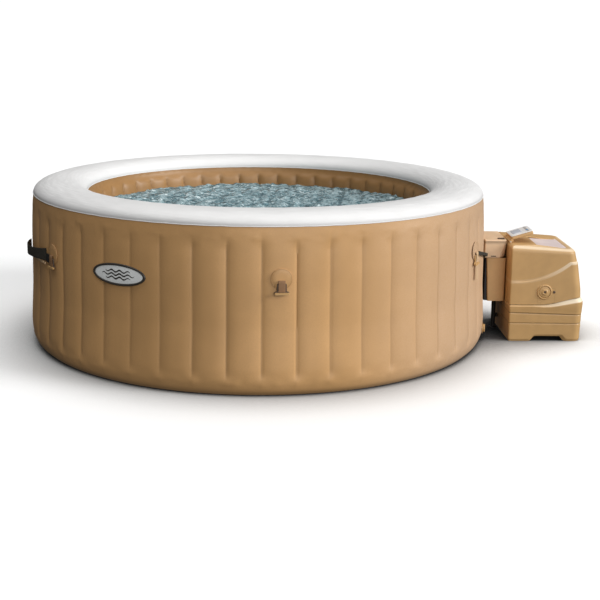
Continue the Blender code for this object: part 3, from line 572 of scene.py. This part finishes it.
def make_floor():
    """The padded floor: small domes between a square net of welds, r from centre to edge."""
    share = np.linspace(0.01, 1, 150)[:, None]
    az = np.arange(320) * TAU / 320
    r = share * 0.7430 + 0 * az
    x, y = r * np.cos(az), r * np.sin(az)
    net = np.minimum(np.abs(np.sin(x * np.pi / 0.09)), np.abs(np.sin(y * np.pi / 0.09)))
    top = polar(r, az, 0.0198 + 0.0028 * np.sqrt(net) * (1 - smooth(share, 0.96, 1.0)))
    low = polar(r[::-20], az, 0.0126)
    weld = np.concatenate([1 - smooth(net, 0.0, 0.2), np.zeros((len(low), 320))])
    # The floor takes the inside's darker tan, painted shade
    piece = surface("padded_floor", np.concatenate([top, low]), inner_skin, stands_for=("tub_floor",),
                    marks={"weld": weld})


make_outer_wall()
make_inner_wall()
make_rim()
make_water()
make_ground_pad()
make_floor()


# ---------------------------------------------------------------- on the wall
WALL_R = 0.9875
STATIONS = np.radians([-26.0, -85.25, -146.0, 154.4, 94.4, 34.4])
STATION_Z = 0.449


def on_wall(az0, z0, x, y, h):
    """A point x along the wall, y up and h out of it, bent to the wall's curve."""
    x, y, h = np.broadcast_arrays(x, y, h)
    return polar(WALL_R + h, az0 + x / WALL_R, z0 + y)


def plate(name, outline, layers, az0, z0, look, **more):
    """An outline scaled about its centre and lifted layer by layer, bent to the wall."""
    outline = np.asarray(outline, float)
    centre = outline.mean(0)
    scale = np.array(layers)
    grow = centre + (outline - centre) * scale[:, 0, None, None]
    return surface(name, on_wall(az0, z0, grow[..., 0], grow[..., 1], scale[:, 1, None]), look, **more)


def oval(a, b, count=96):
    t = np.arange(count) * TAU / count
    return np.stack([a * np.cos(t), b * np.sin(t)], -1)


def band(name, path, across, width, thick, look, count=120, **more):
    """A flat strap along a path, with rounded edges: path + n w cos(a) + m t sin(a), squared off."""
    path = ease(path, count, 7)
    ahead = np.gradient(path, axis=0)
    ahead /= np.linalg.norm(ahead, axis=1, keepdims=True)
    across = np.broadcast_to(across, path.shape)
    normal = np.cross(across, ahead)
    normal /= np.linalg.norm(normal, axis=1, keepdims=True)
    a = np.arange(24) * TAU / 24
    u = np.sign(np.cos(a)) * np.abs(np.cos(a)) ** 0.35
    v = np.sign(np.sin(a)) * np.abs(np.sin(a)) ** 0.6
    width = np.broadcast_to(np.asarray(width, float).reshape(-1, 1), (count, 1))
    points = (path[:, None] + across[:, None] * (u * width / 2)[..., None]
              + normal[:, None] * (v * thick / 2)[None, :, None])
    return surface(name, points, look, **more)


def make_station(k, az):
    """A round weld patch with a folded strap tail that ends in a ladder buckle."""
    disc = [(1.0, 0.0006), (1.0, 0.0016), (0.985, 0.0026), (0.955, 0.0030), (0.93, 0.0024), (0.90, 0.0030),
            (0.5, 0.0034), (0.2, 0.0034)]
    weld = np.array([0, 0, 0.2, 0.6, 1, 0.6, 0, 0])[:, None]
    plate(f"patch_{k}", oval(0.0395, 0.0395), disc, az, STATION_Z, tub_skin,
          stands_for=(f"strap_patch_{k}",), marks={"weld": weld})
    at = lambda y, h: on_wall(az, STATION_Z, 0.0, y, h)
    across = np.cross([0, 0, 1], out_from(az))
    tail = [at(-0.006, 0.0045), at(-0.004, 0.0085), at(-0.012, 0.0105), at(-0.030, 0.0105),
            at(-0.047, 0.0095)]
    weave, look = (pale_weave, tan_plastic) if k == 1 else (strap_weave, strap_brown)
    band(f"strap_tail_{k}", tail, across, 0.026, 0.0024, weave, 60, slot="tan_vinyl")
    outline = soften([(-0.0270, -0.0570), (0.0270, -0.0570), (0.0270, -0.0455), (0.0185, -0.0455),
                      (0.0175, -0.0150), (-0.0175, -0.0150), (-0.0185, -0.0455), (-0.0270, -0.0455)], 0.004)
    layers = [(0.98, 0.0042), (1.0, 0.0052), (1.0, 0.0068), (0.96, 0.0080), (0.6, 0.0084)]
    plate(f"buckle_{k}", outline, layers, az, STATION_Z, look, stands_for=(f"strap_buckle_{k}",))
    lip = soften([(-0.0265, -0.0570), (0.0265, -0.0570), (0.0265, -0.0490), (-0.0265, -0.0490)], 0.003)
    plate(f"buckle_bar_{k}", lip, [(0.97, 0.0070), (1.0, 0.0085), (1.0, 0.0140), (0.93, 0.0156)],
          az, STATION_Z, tan_plastic, slot="brown_plastic")


for k, az in enumerate(STATIONS, 1):
    make_station(k, az)


def make_strap_details():
    """The long loose tail under the first station, and the anchor plate and hem by the left handle."""
    az = STATIONS[0]
    tail = [on_wall(az, STATION_Z, 0.0, y, h)
            for y, h in ((-0.052, 0.0080), (-0.075, 0.0105), (-0.118, 0.0125))]
    band("strap_tail_long", tail, np.cross([0, 0, 1], out_from(az)), 0.022, 0.0024, pale_weave, 60,
         slot="tan_vinyl")
    corners = soften([(-0.011, -0.017), (0.011, -0.017), (0.011, 0.017), (-0.011, 0.017)], 0.003)
    plate("handle_anchor", corners, [(0.98, 0.0085), (1.0, 0.0095), (1.0, 0.0120), (0.9, 0.0130)],
          np.radians(-147.6), 0.430, black_plastic, slot="black_plastic")
    turn = np.radians(np.linspace(-149.0, -159.0, 40))
    band("handle_hem", polar(WALL_R + 0.0125, turn, 0.405), (0.0, 0.0, 1.0), 0.009, 0.0030, pale_weave, 60,
         slot="tan_vinyl")


make_strap_details()


def make_handle(name, piece_name, az, heights, bulge, widths, look):
    """A strap held flat at both ends: radius = wall + bulge sin(pi t)^0.8 between them."""
    t = np.linspace(0, 1, 60)
    arch = np.sin(np.pi * t) ** 0.8
    turn = np.radians(az[0] + (az[1] - az[0]) * t)
    path = polar(WALL_R + 0.0034 + bulge * arch, turn, heights[0] + (heights[1] - heights[0]) * t)
    width = widths[0] + (widths[1] - widths[0]) * np.sin(np.pi * np.linspace(0, 1, 140)) ** 0.8
    band(piece_name, path, (0.0, 0.0, 1.0), width, 0.0034, look, 140, stands_for=(name,))


make_handle("handle_left", "grab_strap_left", (-149.5, -167.0), (0.438, 0.424), 0.028, (0.052, 0.040),
            dark_weave)
make_handle("handle_right", "grab_strap_right", (-23.5, -8.0), (0.432, 0.372), 0.016, (0.018, 0.012),
            dark_weave)


def make_badge():
    """A domed oval plate in a round border, with three short wave lines standing on the plate."""
    az, z = np.radians(-122.3), 0.431
    domed = [(0.998, 0.0006), (0.998, 0.0040), (0.9, 0.0046), (0.6, 0.0052), (0.3, 0.0055)]
    plate("badge_field", oval(0.1128, 0.0336), domed, az, z, badge_pale, stands_for=("badge_plate",))
    s = np.arange(160) * TAU / 160
    a = np.arange(16)[:, None] * TAU / 16
    x = (0.1182 + 0.0058 * np.cos(a)) * np.cos(s)
    y = (0.0379 + 0.0046 * np.cos(a)) * np.sin(s)
    h = 0.0044 + 0.0037 * np.sin(a)
    surface("badge_ring", on_wall(az, z, x, y, h), badge_dark, stands_for=("badge_border",),
            rows_close=True)
    for k, (half, rise) in enumerate(((0.058, 0.0130), (0.076, 0.0), (0.058, -0.0130))):
        t = np.linspace(-1, 1, 90)
        path = on_wall(az, z, t * half, rise + 0.0042 * np.sin(t * half * 165), 0.0058)
        taper = 0.0066 * np.sqrt(np.clip(1 - np.linspace(-1, 1, 90) ** 2, 0.02, 1))
        band(f"badge_wave_{k + 1}", path, (0.0, 0.0, 1.0), taper, 0.0012, badge_dark, 90,
             slot="brown_plastic")


make_badge()


def grip(count, depth):
    """A knurled edge: depth times a flattened cosine with count lobes."""
    return lambda a, h: depth * np.tanh(2.5 * np.cos(a * count))


DRAIN = (-11.0, 0.9985, 0.056)  # direction in degrees, distance out and height
INFLATION = (121.0, 0.9822, 0.560)


def make_valves():
    """A collar and a knurled cap, for the drain low on the wall and for inflation at the back."""
    way = out_from(np.radians(DRAIN[0]))
    at = way * DRAIN[1] + [0, 0, DRAIN[2]]
    collar = [(0.0137, 0.0002), (0.024, 0.0002), (0.024, 0.002), (0.0175, 0.0026), (0.0175, 0.0058),
              (0.0137, 0.0058)]
    turned("drain_collar", collar, at, way, tan_plastic, ring=True, stands_for=("drain_valve",))
    knob = [(0.0118, 0.0017), (0.0118, 0.0066), (0.0183, 0.0066), (0.0176, 0.0106), (0.010, 0.0112)]
    turned("drain_knob", knob, at, way, tan_plastic, 0.002, ripple=grip(12, 0.0004), body="drain_cap",
           stands_for=("drain_cap",))
    way = out_from(np.radians(INFLATION[0]))
    at = way * INFLATION[1] + [0, 0, INFLATION[2]]
    collar = [(0.0142, 0.0002), (0.032, 0.0002), (0.031, 0.004), (0.0215, 0.005), (0.0215, 0.0099),
              (0.0142, 0.0099)]
    turned("air_collar", collar, at, way, grey_plastic, ring=True, stands_for=("inflation_valve",))
    knob = [(0.0128, 0.0032), (0.0128, 0.0107), (0.0223, 0.0107), (0.0215, 0.0168), (0.012, 0.0178)]
    turned("air_knob", knob, at, way, grey_plastic, 0.002, ripple=grip(14, 0.0004), body="inflation_cap",
           stands_for=("inflation_cap",))


make_valves()


# ---------------------------------------------------------------- control unit
X0, X1, DEPTH, CORNER = 1.092, 1.416, 0.2035, 0.036


def plan_columns(sides, corner):
    """For each column round the plan: its place on the core rectangle (-1 to 1) and its outward normal."""
    run = np.linspace(-1, 1, sides, endpoint=False)
    quarter = np.linspace(0, np.pi / 2, corner, endpoint=False)
    one, many = np.ones(sides), np.ones(corner)
    core = np.concatenate([
        np.stack([run, -one], -1), np.stack([many, -many], -1), np.stack([one, run], -1),
        np.stack([many, many], -1),
        np.stack([-run, one], -1), np.stack([-many, many], -1), np.stack([-one, -run], -1),
        np.stack([-many, -many], -1)])
    turn = np.concatenate([-np.pi / 2 + 0 * run, -np.pi / 2 + quarter, 0 * run, quarter, np.pi / 2 + 0 * run,
                           np.pi / 2 + quarter, np.pi + 0 * run, np.pi + quarter])
    return core, np.stack([np.cos(turn), np.sin(turn)], -1)


CORE, OUT = plan_columns(40, 12)


def plan(x0, x1, half_y, r, z, core=None, out=None, rear=0.0, left=0.006):
    """Centre + core (half size - r) + normal r, at height z. Every value may vary by row and column.

    The radius runs from left, on the tub's side, to r, and rear is how far the back edge is drawn in.
    """
    core = CORE if core is None else core
    out = OUT if out is None else out
    values = (x0, x1, half_y, r, z, rear)
    x0, x1, half_y, r, z, rear = np.broadcast_arrays(*(np.atleast_1d(v) for v in values))
    r = np.minimum(r, left) + (r - np.minimum(r, left)) * (core[:, 0] + 1) / 2
    x = (x0 + x1) / 2 + core[:, 0] * ((x1 - x0) / 2 - r) + out[:, 0] * r
    y = -rear / 2 + core[:, 1] * (half_y - rear / 2 - r) + out[:, 1] * r
    return np.stack([x, y, z + 0 * x], -1)


PLAN_X = plan(X0, X1, DEPTH, CORNER, 0.0)[:, 0]


def split_line(x):
    """Level, then rising in a smooth ramp towards +X."""
    return 0.165 + 0.031 * smooth(x, 1.235, X1)


def ridge_line(x):
    """Nearly level, then climbing as a power of the distance from the left edge."""
    return 0.266 + 0.088 * np.clip((x - 1.11) / 0.27, 0, 1) ** 2.1


def top_fall(x):
    """How far the top has sunk at x, as an even slope away from the tub."""
    return 0.05 * (x - X0)


def lips(z, at, depth, width):
    """A narrow groove: -depth exp(-((z - at) / width)^2)."""
    return -depth * np.exp(-((z - at) / width) ** 2)


def make_unit_base():
    """Rows between key heights that follow the arch, the grooves and the joint."""
    x = PLAN_X
    face = np.abs(OUT[:, 1]) > 0.98
    arch = 0.0225 * smooth(x, 1.184, 1.208) * (1 - smooth(x, 1.326, 1.354)) * face
    split = split_line(x)
    lip = 0.006 + 0.012 * smooth(x, 1.16, 1.40)
    s = np.linspace(0, 1, 90)[:, None]
    top = split - 0.0016
    z = arch + (top - lip - arch) * s
    g1, g2 = 0.129 - 0.010 * (x - 1.10) / 0.3, 0.082 - 0.003 * (x - 1.10) / 0.3
    swell = 0.0055 * np.sin(np.clip(s, 0, 1) * np.pi / 2) ** 1.5 + 0.003 * smooth(z, 0.125, 0.165)
    push = swell + lips(z, g1, 0.0022, 0.0022) + lips(z, g2, 0.0022, 0.0022)
    push = push + 0.0012 * smooth(z, g1, g1 + 0.003) - 0.004 * (1 - smooth(s, 0.0, 0.06))
    wall = plan(X0 + 0.003 - push * 0.4, X1 + 0.001 + push * 0.4, DEPTH - 0.002 + push * 0.9, CORNER, z)
    last = push[-1]
    rise = np.linspace(0, 1, 8)[1:, None]
    ledge = plan(X0 + 0.003 - last * 0.4 + 0.004 * rise, X1 + 0.001 + last * 0.4 - 0.0105 * rise,
                 DEPTH - 0.002 + last * 0.9 - 0.0085 * rise, CORNER, top - lip * (1 - rise ** 0.8))
    inside = plan(X0 + np.array([[0.009], [0.012]]), X1 - np.array([[0.020], [0.022]]),
                  DEPTH - np.array([[0.012], [0.014]]), 0.030, np.array([[0.150], [0.036]]) + 0 * x)
    under = plan(X0 + np.array([[0.012], [0.011]]), X1 - np.array([[0.022], [0.018]]),
                 DEPTH - np.array([[0.011], [0.010]]), 0.030, np.vstack([0 * x + 0.0300, arch + 0.0002]))
    shell = np.concatenate([under, wall, ledge, inside])
    # Painted highlight on the ledge rows, stronger towards +X, the lit side
    edge = np.zeros(shell.shape[:2])
    edge[92:99] = 0.10 + 0.85 * smooth(x, 1.16, 1.39)
    # Painted shade in the two grooves, carried by the cut mark
    grooves = np.exp(-((z - g1) / 0.0022) ** 2) + 0.8 * np.exp(-((z - g2) / 0.0020) ** 2)
    cut = np.zeros(shell.shape[:2])
    cut[2:92] = grooves
    surface("unit_tray", shell, tan_plastic, stands_for=("unit_base",), sharp=32,
            marks={"edge": edge, "cut": cut})


def make_unit_cover():
    """Rows from the joint to a ridge, to the shoulder, over the crown and down into the top's recess.

    The top sinks towards +X, and the crown is drawn in more at the back than the front.
    """
    x = PLAN_X
    low, ridge = split_line(x) + 0.0006, ridge_line(x)
    s = np.linspace(0, 1, 30)[:, None]
    z = np.concatenate([low + (ridge - 0.0024 - low) * s, ridge + 0.0016 + (0.398 - ridge - 0.0016) * s])
    proud = np.repeat([[0.0030], [0.0]], 30, 0) * smooth(x, 1.07, 1.15)
    tilt = lambda height: height - top_fall(x) * np.clip((height - 0.350) / 0.056, 0, 1)
    right = np.interp(z, [0.165, 0.232, 0.350, 0.398], [1.4095, 1.4055, 1.3865, 1.3772])
    wall = plan(X0 - 0.0015 * smooth(z, 0.2, 0.4), right + proud * 0.7, DEPTH - 0.0015 + proud, CORNER,
                tilt(z), rear=0.002 * smooth(z, 0.35, 0.40))
    crown = soften([  # left, right, front, rear, radius, height
                    (-0.0015, 1.3772, 0.0015, 0.002, 0.036, 0.398),
                    (-0.0015, 1.3760, 0.0020, 0.004, 0.036, 0.4080),
                    (-0.0010, 1.3725, 0.0055, 0.010, 0.036, 0.4160),
                    (0.004, 1.3670, 0.014, 0.026, 0.036, 0.4218),
                    (0.012, 1.3590, 0.024, 0.050, 0.034, 0.4240),
                    (0.1135, 1.3425, 0.0380, 0.1210, 0.026, 0.4242),
                    (0.1140, 1.3420, 0.0385, 0.1215, 0.026, 0.4236),
                    (0.1140, 1.3420, 0.0385, 0.1215, 0.026, 0.4190)],
                   0.005, False, 4)[1:]

    def over(rows, inset, drop):
        left, right, front, rear, radius, height = (rows[:, k, None] for k in range(6))
        inset = inset * (1 - np.clip((left - 0.012) / 0.09, 0, 1))
        return plan(X0 + left + inset, right - inset, DEPTH - front - inset, radius, tilt(height) - drop,
                    rear=rear)

    inner = plan(X0 + 0.004, right[::-12] - 0.004, DEPTH - 0.0055, 0.032,
                 tilt(z[::-12]) - 0.004 * (z[::-12] > 0.39))
    shell = np.concatenate([wall, over(crown, 0.0, 0.0), over(crown[:-4][::-4], 0.004, 0.0045), inner])
    # Painted highlight on the ridge, stronger towards +X, and on the shoulder where it faces the front and
    # +X, the lit sides
    edge = np.zeros(shell.shape[:2])
    edge[28:32] = 0.14 + 0.56 * smooth(x, 1.20, 1.40)
    lit_facing = smooth(-OUT[:, 1] + OUT[:, 0], 0.2, 0.9)
    edge[66:82] = 0.60 * lit_facing * np.sin(np.linspace(0.15, 1, 16) * np.pi)[:, None]
    surface("unit_shell", shell, cover_plastic, rows_close=True, stands_for=("unit_cover",), sharp=32,
            marks={"edge": edge})


def make_top_plate():
    """A shallow dished plate in the cover's recess, sloping with the top."""
    layers = np.array([(0.0012, 0.4176), (0.0010, 0.4202), (0.0025, 0.4209), (0.014, 0.4207),
                       (0.034, 0.4203),
                       (0.052, 0.4202)])
    i, z = layers[:, 0, None], layers[:, 1, None]
    points = plan(1.206 + i, 1.342 - i, 0.165 - i, np.maximum(0.0255 - i, 0.003), z, rear=0.083, left=0.026)
    points[..., 2] -= top_fall(points[..., 0])
    surface("unit_lid_panel", points, top_grey, stands_for=("unit_top_panel",))


PORT = np.array([1.243, -DEPTH - 0.0004, 0.222])
LATCH_STEP = 0.042


def make_port():
    """A ring, a dished cap with a finger hole, and a small latch, turned about the front's normal."""
    way = (0, -1, 0)
    ring = [(0.0260, 0.0002), (0.0340, 0.0002), (0.0335, 0.0028), (0.0310, 0.0052), (0.0272, 0.0054),
            (0.0260, 0.0035)]
    turned("port_ring", ring, PORT, way, tan_plastic, ring=True, stands_for=("air_port_ring",))
    knob = [(0.0230, -0.0075), (0.0247, 0.0), (0.0247, 0.0034), (0.0225, 0.0044), (0.0150, 0.0050),
            (0.0110, 0.0078), (0.0062, 0.0080), (0.0052, 0.0052), (0.0030, 0.0050)]
    turned("port_knob", knob, PORT, way, tan_plastic, 0.0012, ripple=grip(16, 0.0003), body="air_port_cap",
           stands_for=("air_port_cap",))
    turned("port_eye", [(0.0054, 0.0046), (0.0054, 0.0060), (0.0020, 0.0064)], PORT, way, strap_brown,
           0.0005, body="air_port_cap", slot="brown_plastic")
    latch = [(0.0060, 0.0002), (0.0062, 0.0012), (0.0052, 0.0040), (0.0020, 0.0044)]
    turned("latch_dot", latch, PORT + [LATCH_STEP, 0, 0], way, strap_brown, body="port_latch",
           stands_for=("port_latch",))


make_unit_base()
make_unit_cover()
make_top_plate()
make_port()


# ---------------------------------------------------------------- control panel
TILT = np.radians(16.5)
HINGE = np.array([1.100, 0.0, 0.4285])
PANEL_AXES = np.array([[np.cos(TILT), 0, np.sin(TILT)], [0, 1, 0], [-np.sin(TILT), 0, np.cos(TILT)]])


def panel_block(name, u0, u1, v0, v1, layers, look, corner=0.003, **more):
    """Rounded-rectangle layers of (inset, height) in the panel's axes: away, along and out of its face."""
    core, out = plan_columns(4, 8)
    layers = np.array(layers, float)
    inset, w = layers[:, 0, None], layers[:, 1, None]
    mid = (v0 + v1) / 2
    flat = plan(u0 + inset, u1 - inset, (v1 - v0) / 2 - inset, np.maximum(corner - inset, 0.0008), w, core,
                out)
    flat[..., 1] += mid
    return surface(name, HINGE + flat @ PANEL_AXES, look, **more)


def make_panel():
    body = "control_panel"
    panel_block("panel_tray", 0.008, 0.106, -0.120, 0.0,
                [(0.004, 0.0050), (0.0015, 0.0054), (0.0, 0.0068), (0.0, 0.0170), (0.001, 0.0186),
                 (0.003, 0.0189)],
                tan_plastic, 0.006, body=body, stands_for=("panel_housing",))
    panel_block("panel_arm", 0.002, 0.014, -0.119, -0.001,
                [(0.001, -0.003), (0, -0.002), (0, 0.0082), (0.001, 0.009)],
                tan_plastic, body=body, slot="tan_plastic")
    turned("panel_barrel", [(0.0060, -0.1190), (0.0060, -0.0010)], HINGE, (0, 1, 0), tan_plastic, body=body,
           slot="tan_plastic")
    panel_block("panel_plate", 0.0085, 0.1055, -0.1195, -0.0005,
                [(0.001, 0.0194), (0.0, 0.0200), (0.0, 0.0214), (0.0008, 0.0222), (0.004, 0.0224),
                 (0.02, 0.0224)],
                white_plastic, 0.006, body=body, stands_for=("panel_face",))
    panel_block("panel_window", 0.022, 0.062, -0.096, -0.024,
                [(0.0, 0.0212), (0.0, 0.0226), (0.0006, 0.0230),
                 (0.01, 0.0231)], slot_looks["dark_lens"], 0.003,
                body=body, stands_for=("panel_display",))
    names = (("button_power", -0.019, grey_plastic), ("button_heat", -0.039, grey_plastic),
             ("button_filter", -0.059, grey_plastic), ("button_bubbles", -0.079, blue_plastic))
    for name, v, look in names:
        panel_block(name + "_key", 0.082, 0.094, v - 0.007, v + 0.007,
                    [(0.0, 0.0170), (0.0, 0.0228), (0.0012, 0.0240), (0.004, 0.0237)], look, 0.004,
                    body=name, stands_for=(name,))
    panel_block("temperature_key", 0.082, 0.094, -0.1108, -0.0932,
                [(0.0, 0.0185), (0.0, 0.0226), (0.0012, 0.0238), (0.004, 0.0232)], grey_plastic, 0.004,
                body="temperature_rocker", stands_for=("temperature_rocker",))


make_panel()


# ---------------------------------------------------------------- duct and pipes
def make_duct():
    """A boxy head with a lid line and a slanted lower corner, and a tapered leg under it."""
    def head_line(inset, z, slant):
        x0, x1, y0, y1 = 0.9900 + inset, 1.0885 - inset, -0.1120 + inset, 0.1120 - inset
        corners = [(x1, y1, z), (x0, y1, z), (x0, y0, z), (x1 - slant, y0, z),
                   (x1 - slant * 0.2, y0 + slant * 0.8, z),
                   (x1, 0.0, z)]
        return soften(corners, 0.005)

    rows = [(0.008, 0.3542, 0.030), (0.002, 0.3542, 0.030), (0.0004, 0.3565, 0.030), (0, 0.365, 0.0275),
            (0, 0.390, 0.0200), (0, 0.412, 0.0135), (0, 0.4258, 0.0092), (0.0016, 0.4262, 0.0090),
            (0.0016, 0.4274, 0.0086), (0, 0.4278, 0.0084), (0, 0.4304, 0.0080), (0.0012, 0.4328, 0.0078),
            (0.006, 0.4335, 0.0075)]
    # Painted shade in the groove of the lid line
    cut = np.zeros(len(rows))
    cut[6:9] = 1.0
    surface("duct_box", np.stack([head_line(*row) for row in rows]), duct_plastic,
            stands_for=("duct_head",),
            marks={"cut": cut[:, None]}, sharp=28)
    core, out = plan_columns(14, 6)
    tab = plan(1.050, 1.080, 0.010, 0.004, np.array([[0.4338], [0.4362], [0.4368]]), core, out)
    tab[..., 1] -= 0.081
    surface("duct_tab", tab, strap_brown, slot="brown_plastic")
    # A thin black plate on the head's front: painted shade standing in for a small recess
    slot = plan(1.018, 1.040, 0.0012, 0.001, np.array([[0.3600], [0.3634]]), core, out)
    slot[..., 1] -= 0.1126
    surface("duct_slot_shade", slot, black_plastic, slot="black_plastic")
    t = np.linspace(0, 1, 24)[:, None]
    z = 0.3522 - 0.1952 * t
    leg = plan(1.0020 + 0.0110 * t, 1.0875, 0.1050 - 0.002 * t, 0.006, z, core, out)
    inner = plan(1.0050 + 0.0110 * t, 1.0845, 0.1020 - 0.002 * t, 0.004, z, core, out)
    surface("duct_shroud", np.concatenate([leg, inner[::-8]]), leg_plastic, rows_close=True,
            stands_for=("duct_leg",), sharp=30)
    seal = plan(0.9985, 1.0012 + 0.0110 * t, 0.095, 0.001, 0.3518 - 0.1935 * t, core, out)
    surface("duct_back_seal", seal, black_plastic, slot="black_plastic")


def hose(name, path, radius, look, count=80, **more):
    """A round tube along an eased path, with its rings square to it and ribbed: r (1 + 0.03 sin)."""
    path = ease(path, count, 9)
    ahead = np.gradient(path, axis=0)
    ahead /= np.linalg.norm(ahead, axis=1, keepdims=True)
    side = np.array([0.0, 1.0, 0.0])
    up = np.cross(ahead, side)
    a = np.arange(28) * TAU / 28
    rib = radius * (1 - 0.05 * (np.sin(np.arange(count) * TAU / 4) > 0))[:, None, None]
    points = path[:, None] + rib * (side * np.cos(a)[:, None] + up[:, None] * np.sin(a)[:, None])
    return surface(name, points, look, **more)


def make_pipes():
    for name, y in (("suction_pipe", -0.034), ("return_pipe", 0.034)):
        route = [(1.0160, y, 0.385), (1.034, y, 0.385), (1.048, y, 0.371), (1.048, y, 0.230),
                 (1.060, y, 0.214),
                 (1.124, y, 0.214)]
        hose(name + "_hose", route, 0.0158, black_plastic, stands_for=(name,))
    foot = [(0.0195, 0.0002), (0.0195, 0.005), (0.0120, 0.009), (0.0095, 0.013), (0.0095, 0.1748)]
    turned("foot_pipe", foot, (1.070, 0.030, 0), (0, 0, 1), black_plastic, 0.002, stands_for=("standpipe",))
    gland = [(0.0068, 0.0005), (0.0068, 0.0143), (0.0103, 0.0147), (0.0103, 0.0210), (0.0060, 0.0228)]
    turned("cable_gland", gland, (X0 + 0.014, 0.054, 0.055), (-1, 0, 0), black_plastic, 0.0012, steps=48,
           stands_for=("cord_gland",))


make_duct()
make_pipes()


# ---------------------------------------------------------------- studio
def make_studio():
    half = 40.0
    mesh = bpy.data.meshes.new("studio_floor")
    mesh.from_pydata([(-half, -half, -0.0005), (half, -half, -0.0005), (half, half, -0.0005),
                      (-half, half, -0.0005)], [], [(0, 1, 2, 3)])
    p = Paint("studio_white", 0.9, Specular_IOR_Level=0.0, Emission_Strength=0.09)
    near = p.add("AmbientOcclusion", {"samples": 8}, {"Distance": 0.40}, out="AO")
    pale = p.mix(p.noise(0.4), (0.90, 0.91, 0.91), (0.92, 0.92, 0.92))
    tone = p.mix(near.step(0.14, 0.95), FLOOR_SHADOW, pale)
    mesh.materials.append(p.feed(Base_Color=tone, Emission_Color=tone))
    floor = bpy.data.objects.new("studio_floor", mesh)
    floor.visible_diffuse = False
    floor.visible_glossy = False
    scene.collection.objects.link(floor)
    world = bpy.data.worlds.new("studio")
    scene.world = world
    world.use_nodes = True
    tree = world.node_tree
    tree.nodes.clear()
    out = tree.nodes.new("ShaderNodeOutputWorld")
    seen = tree.nodes.new("ShaderNodeBackground")
    lit = tree.nodes.new("ShaderNodeBackground")
    choose = tree.nodes.new("ShaderNodeMixShader")
    path = tree.nodes.new("ShaderNodeLightPath")
    seen.inputs["Color"].default_value = (1, 1, 1, 1)
    seen.inputs["Strength"].default_value = 1.05
    lit.inputs["Color"].default_value = (0.97, 0.98, 1.0, 1)
    lit.inputs["Strength"].default_value = 0.05
    tree.links.new(path.outputs["Is Camera Ray"], choose.inputs[0])
    tree.links.new(lit.outputs[0], choose.inputs[1])
    tree.links.new(seen.outputs[0], choose.inputs[2])
    tree.links.new(choose.outputs[0], out.inputs[0])


def far_light(name, az, elevation, strength, spread, colour=(1, 1, 1)):
    """A large lamp far away: its light is the same all over the floor, and spread sets how soft it is."""
    a, e = np.radians(az), np.radians(elevation)
    side, up, w = basis([np.cos(a) * np.cos(e), np.sin(a) * np.cos(e), np.sin(e)])
    data = bpy.data.lights.new(name, "SUN")
    data.energy = strength
    data.angle = np.radians(spread)
    data.color = colour
    lamp = bpy.data.objects.new(name, data)
    turn = np.eye(4)
    turn[:3, 0], turn[:3, 1], turn[:3, 2], turn[:3, 3] = side, up, w, 4 * w
    lamp.matrix_world = Matrix(turn.tolist())
    scene.collection.objects.link(lamp)


make_studio()
far_light("key", -17, 20, 2.45, 24)
far_light("fill", -74, 17, 1.40, 40)
far_light("overhead", 100, 82, 2.05, 80)
scene.view_settings.view_transform = "Standard"
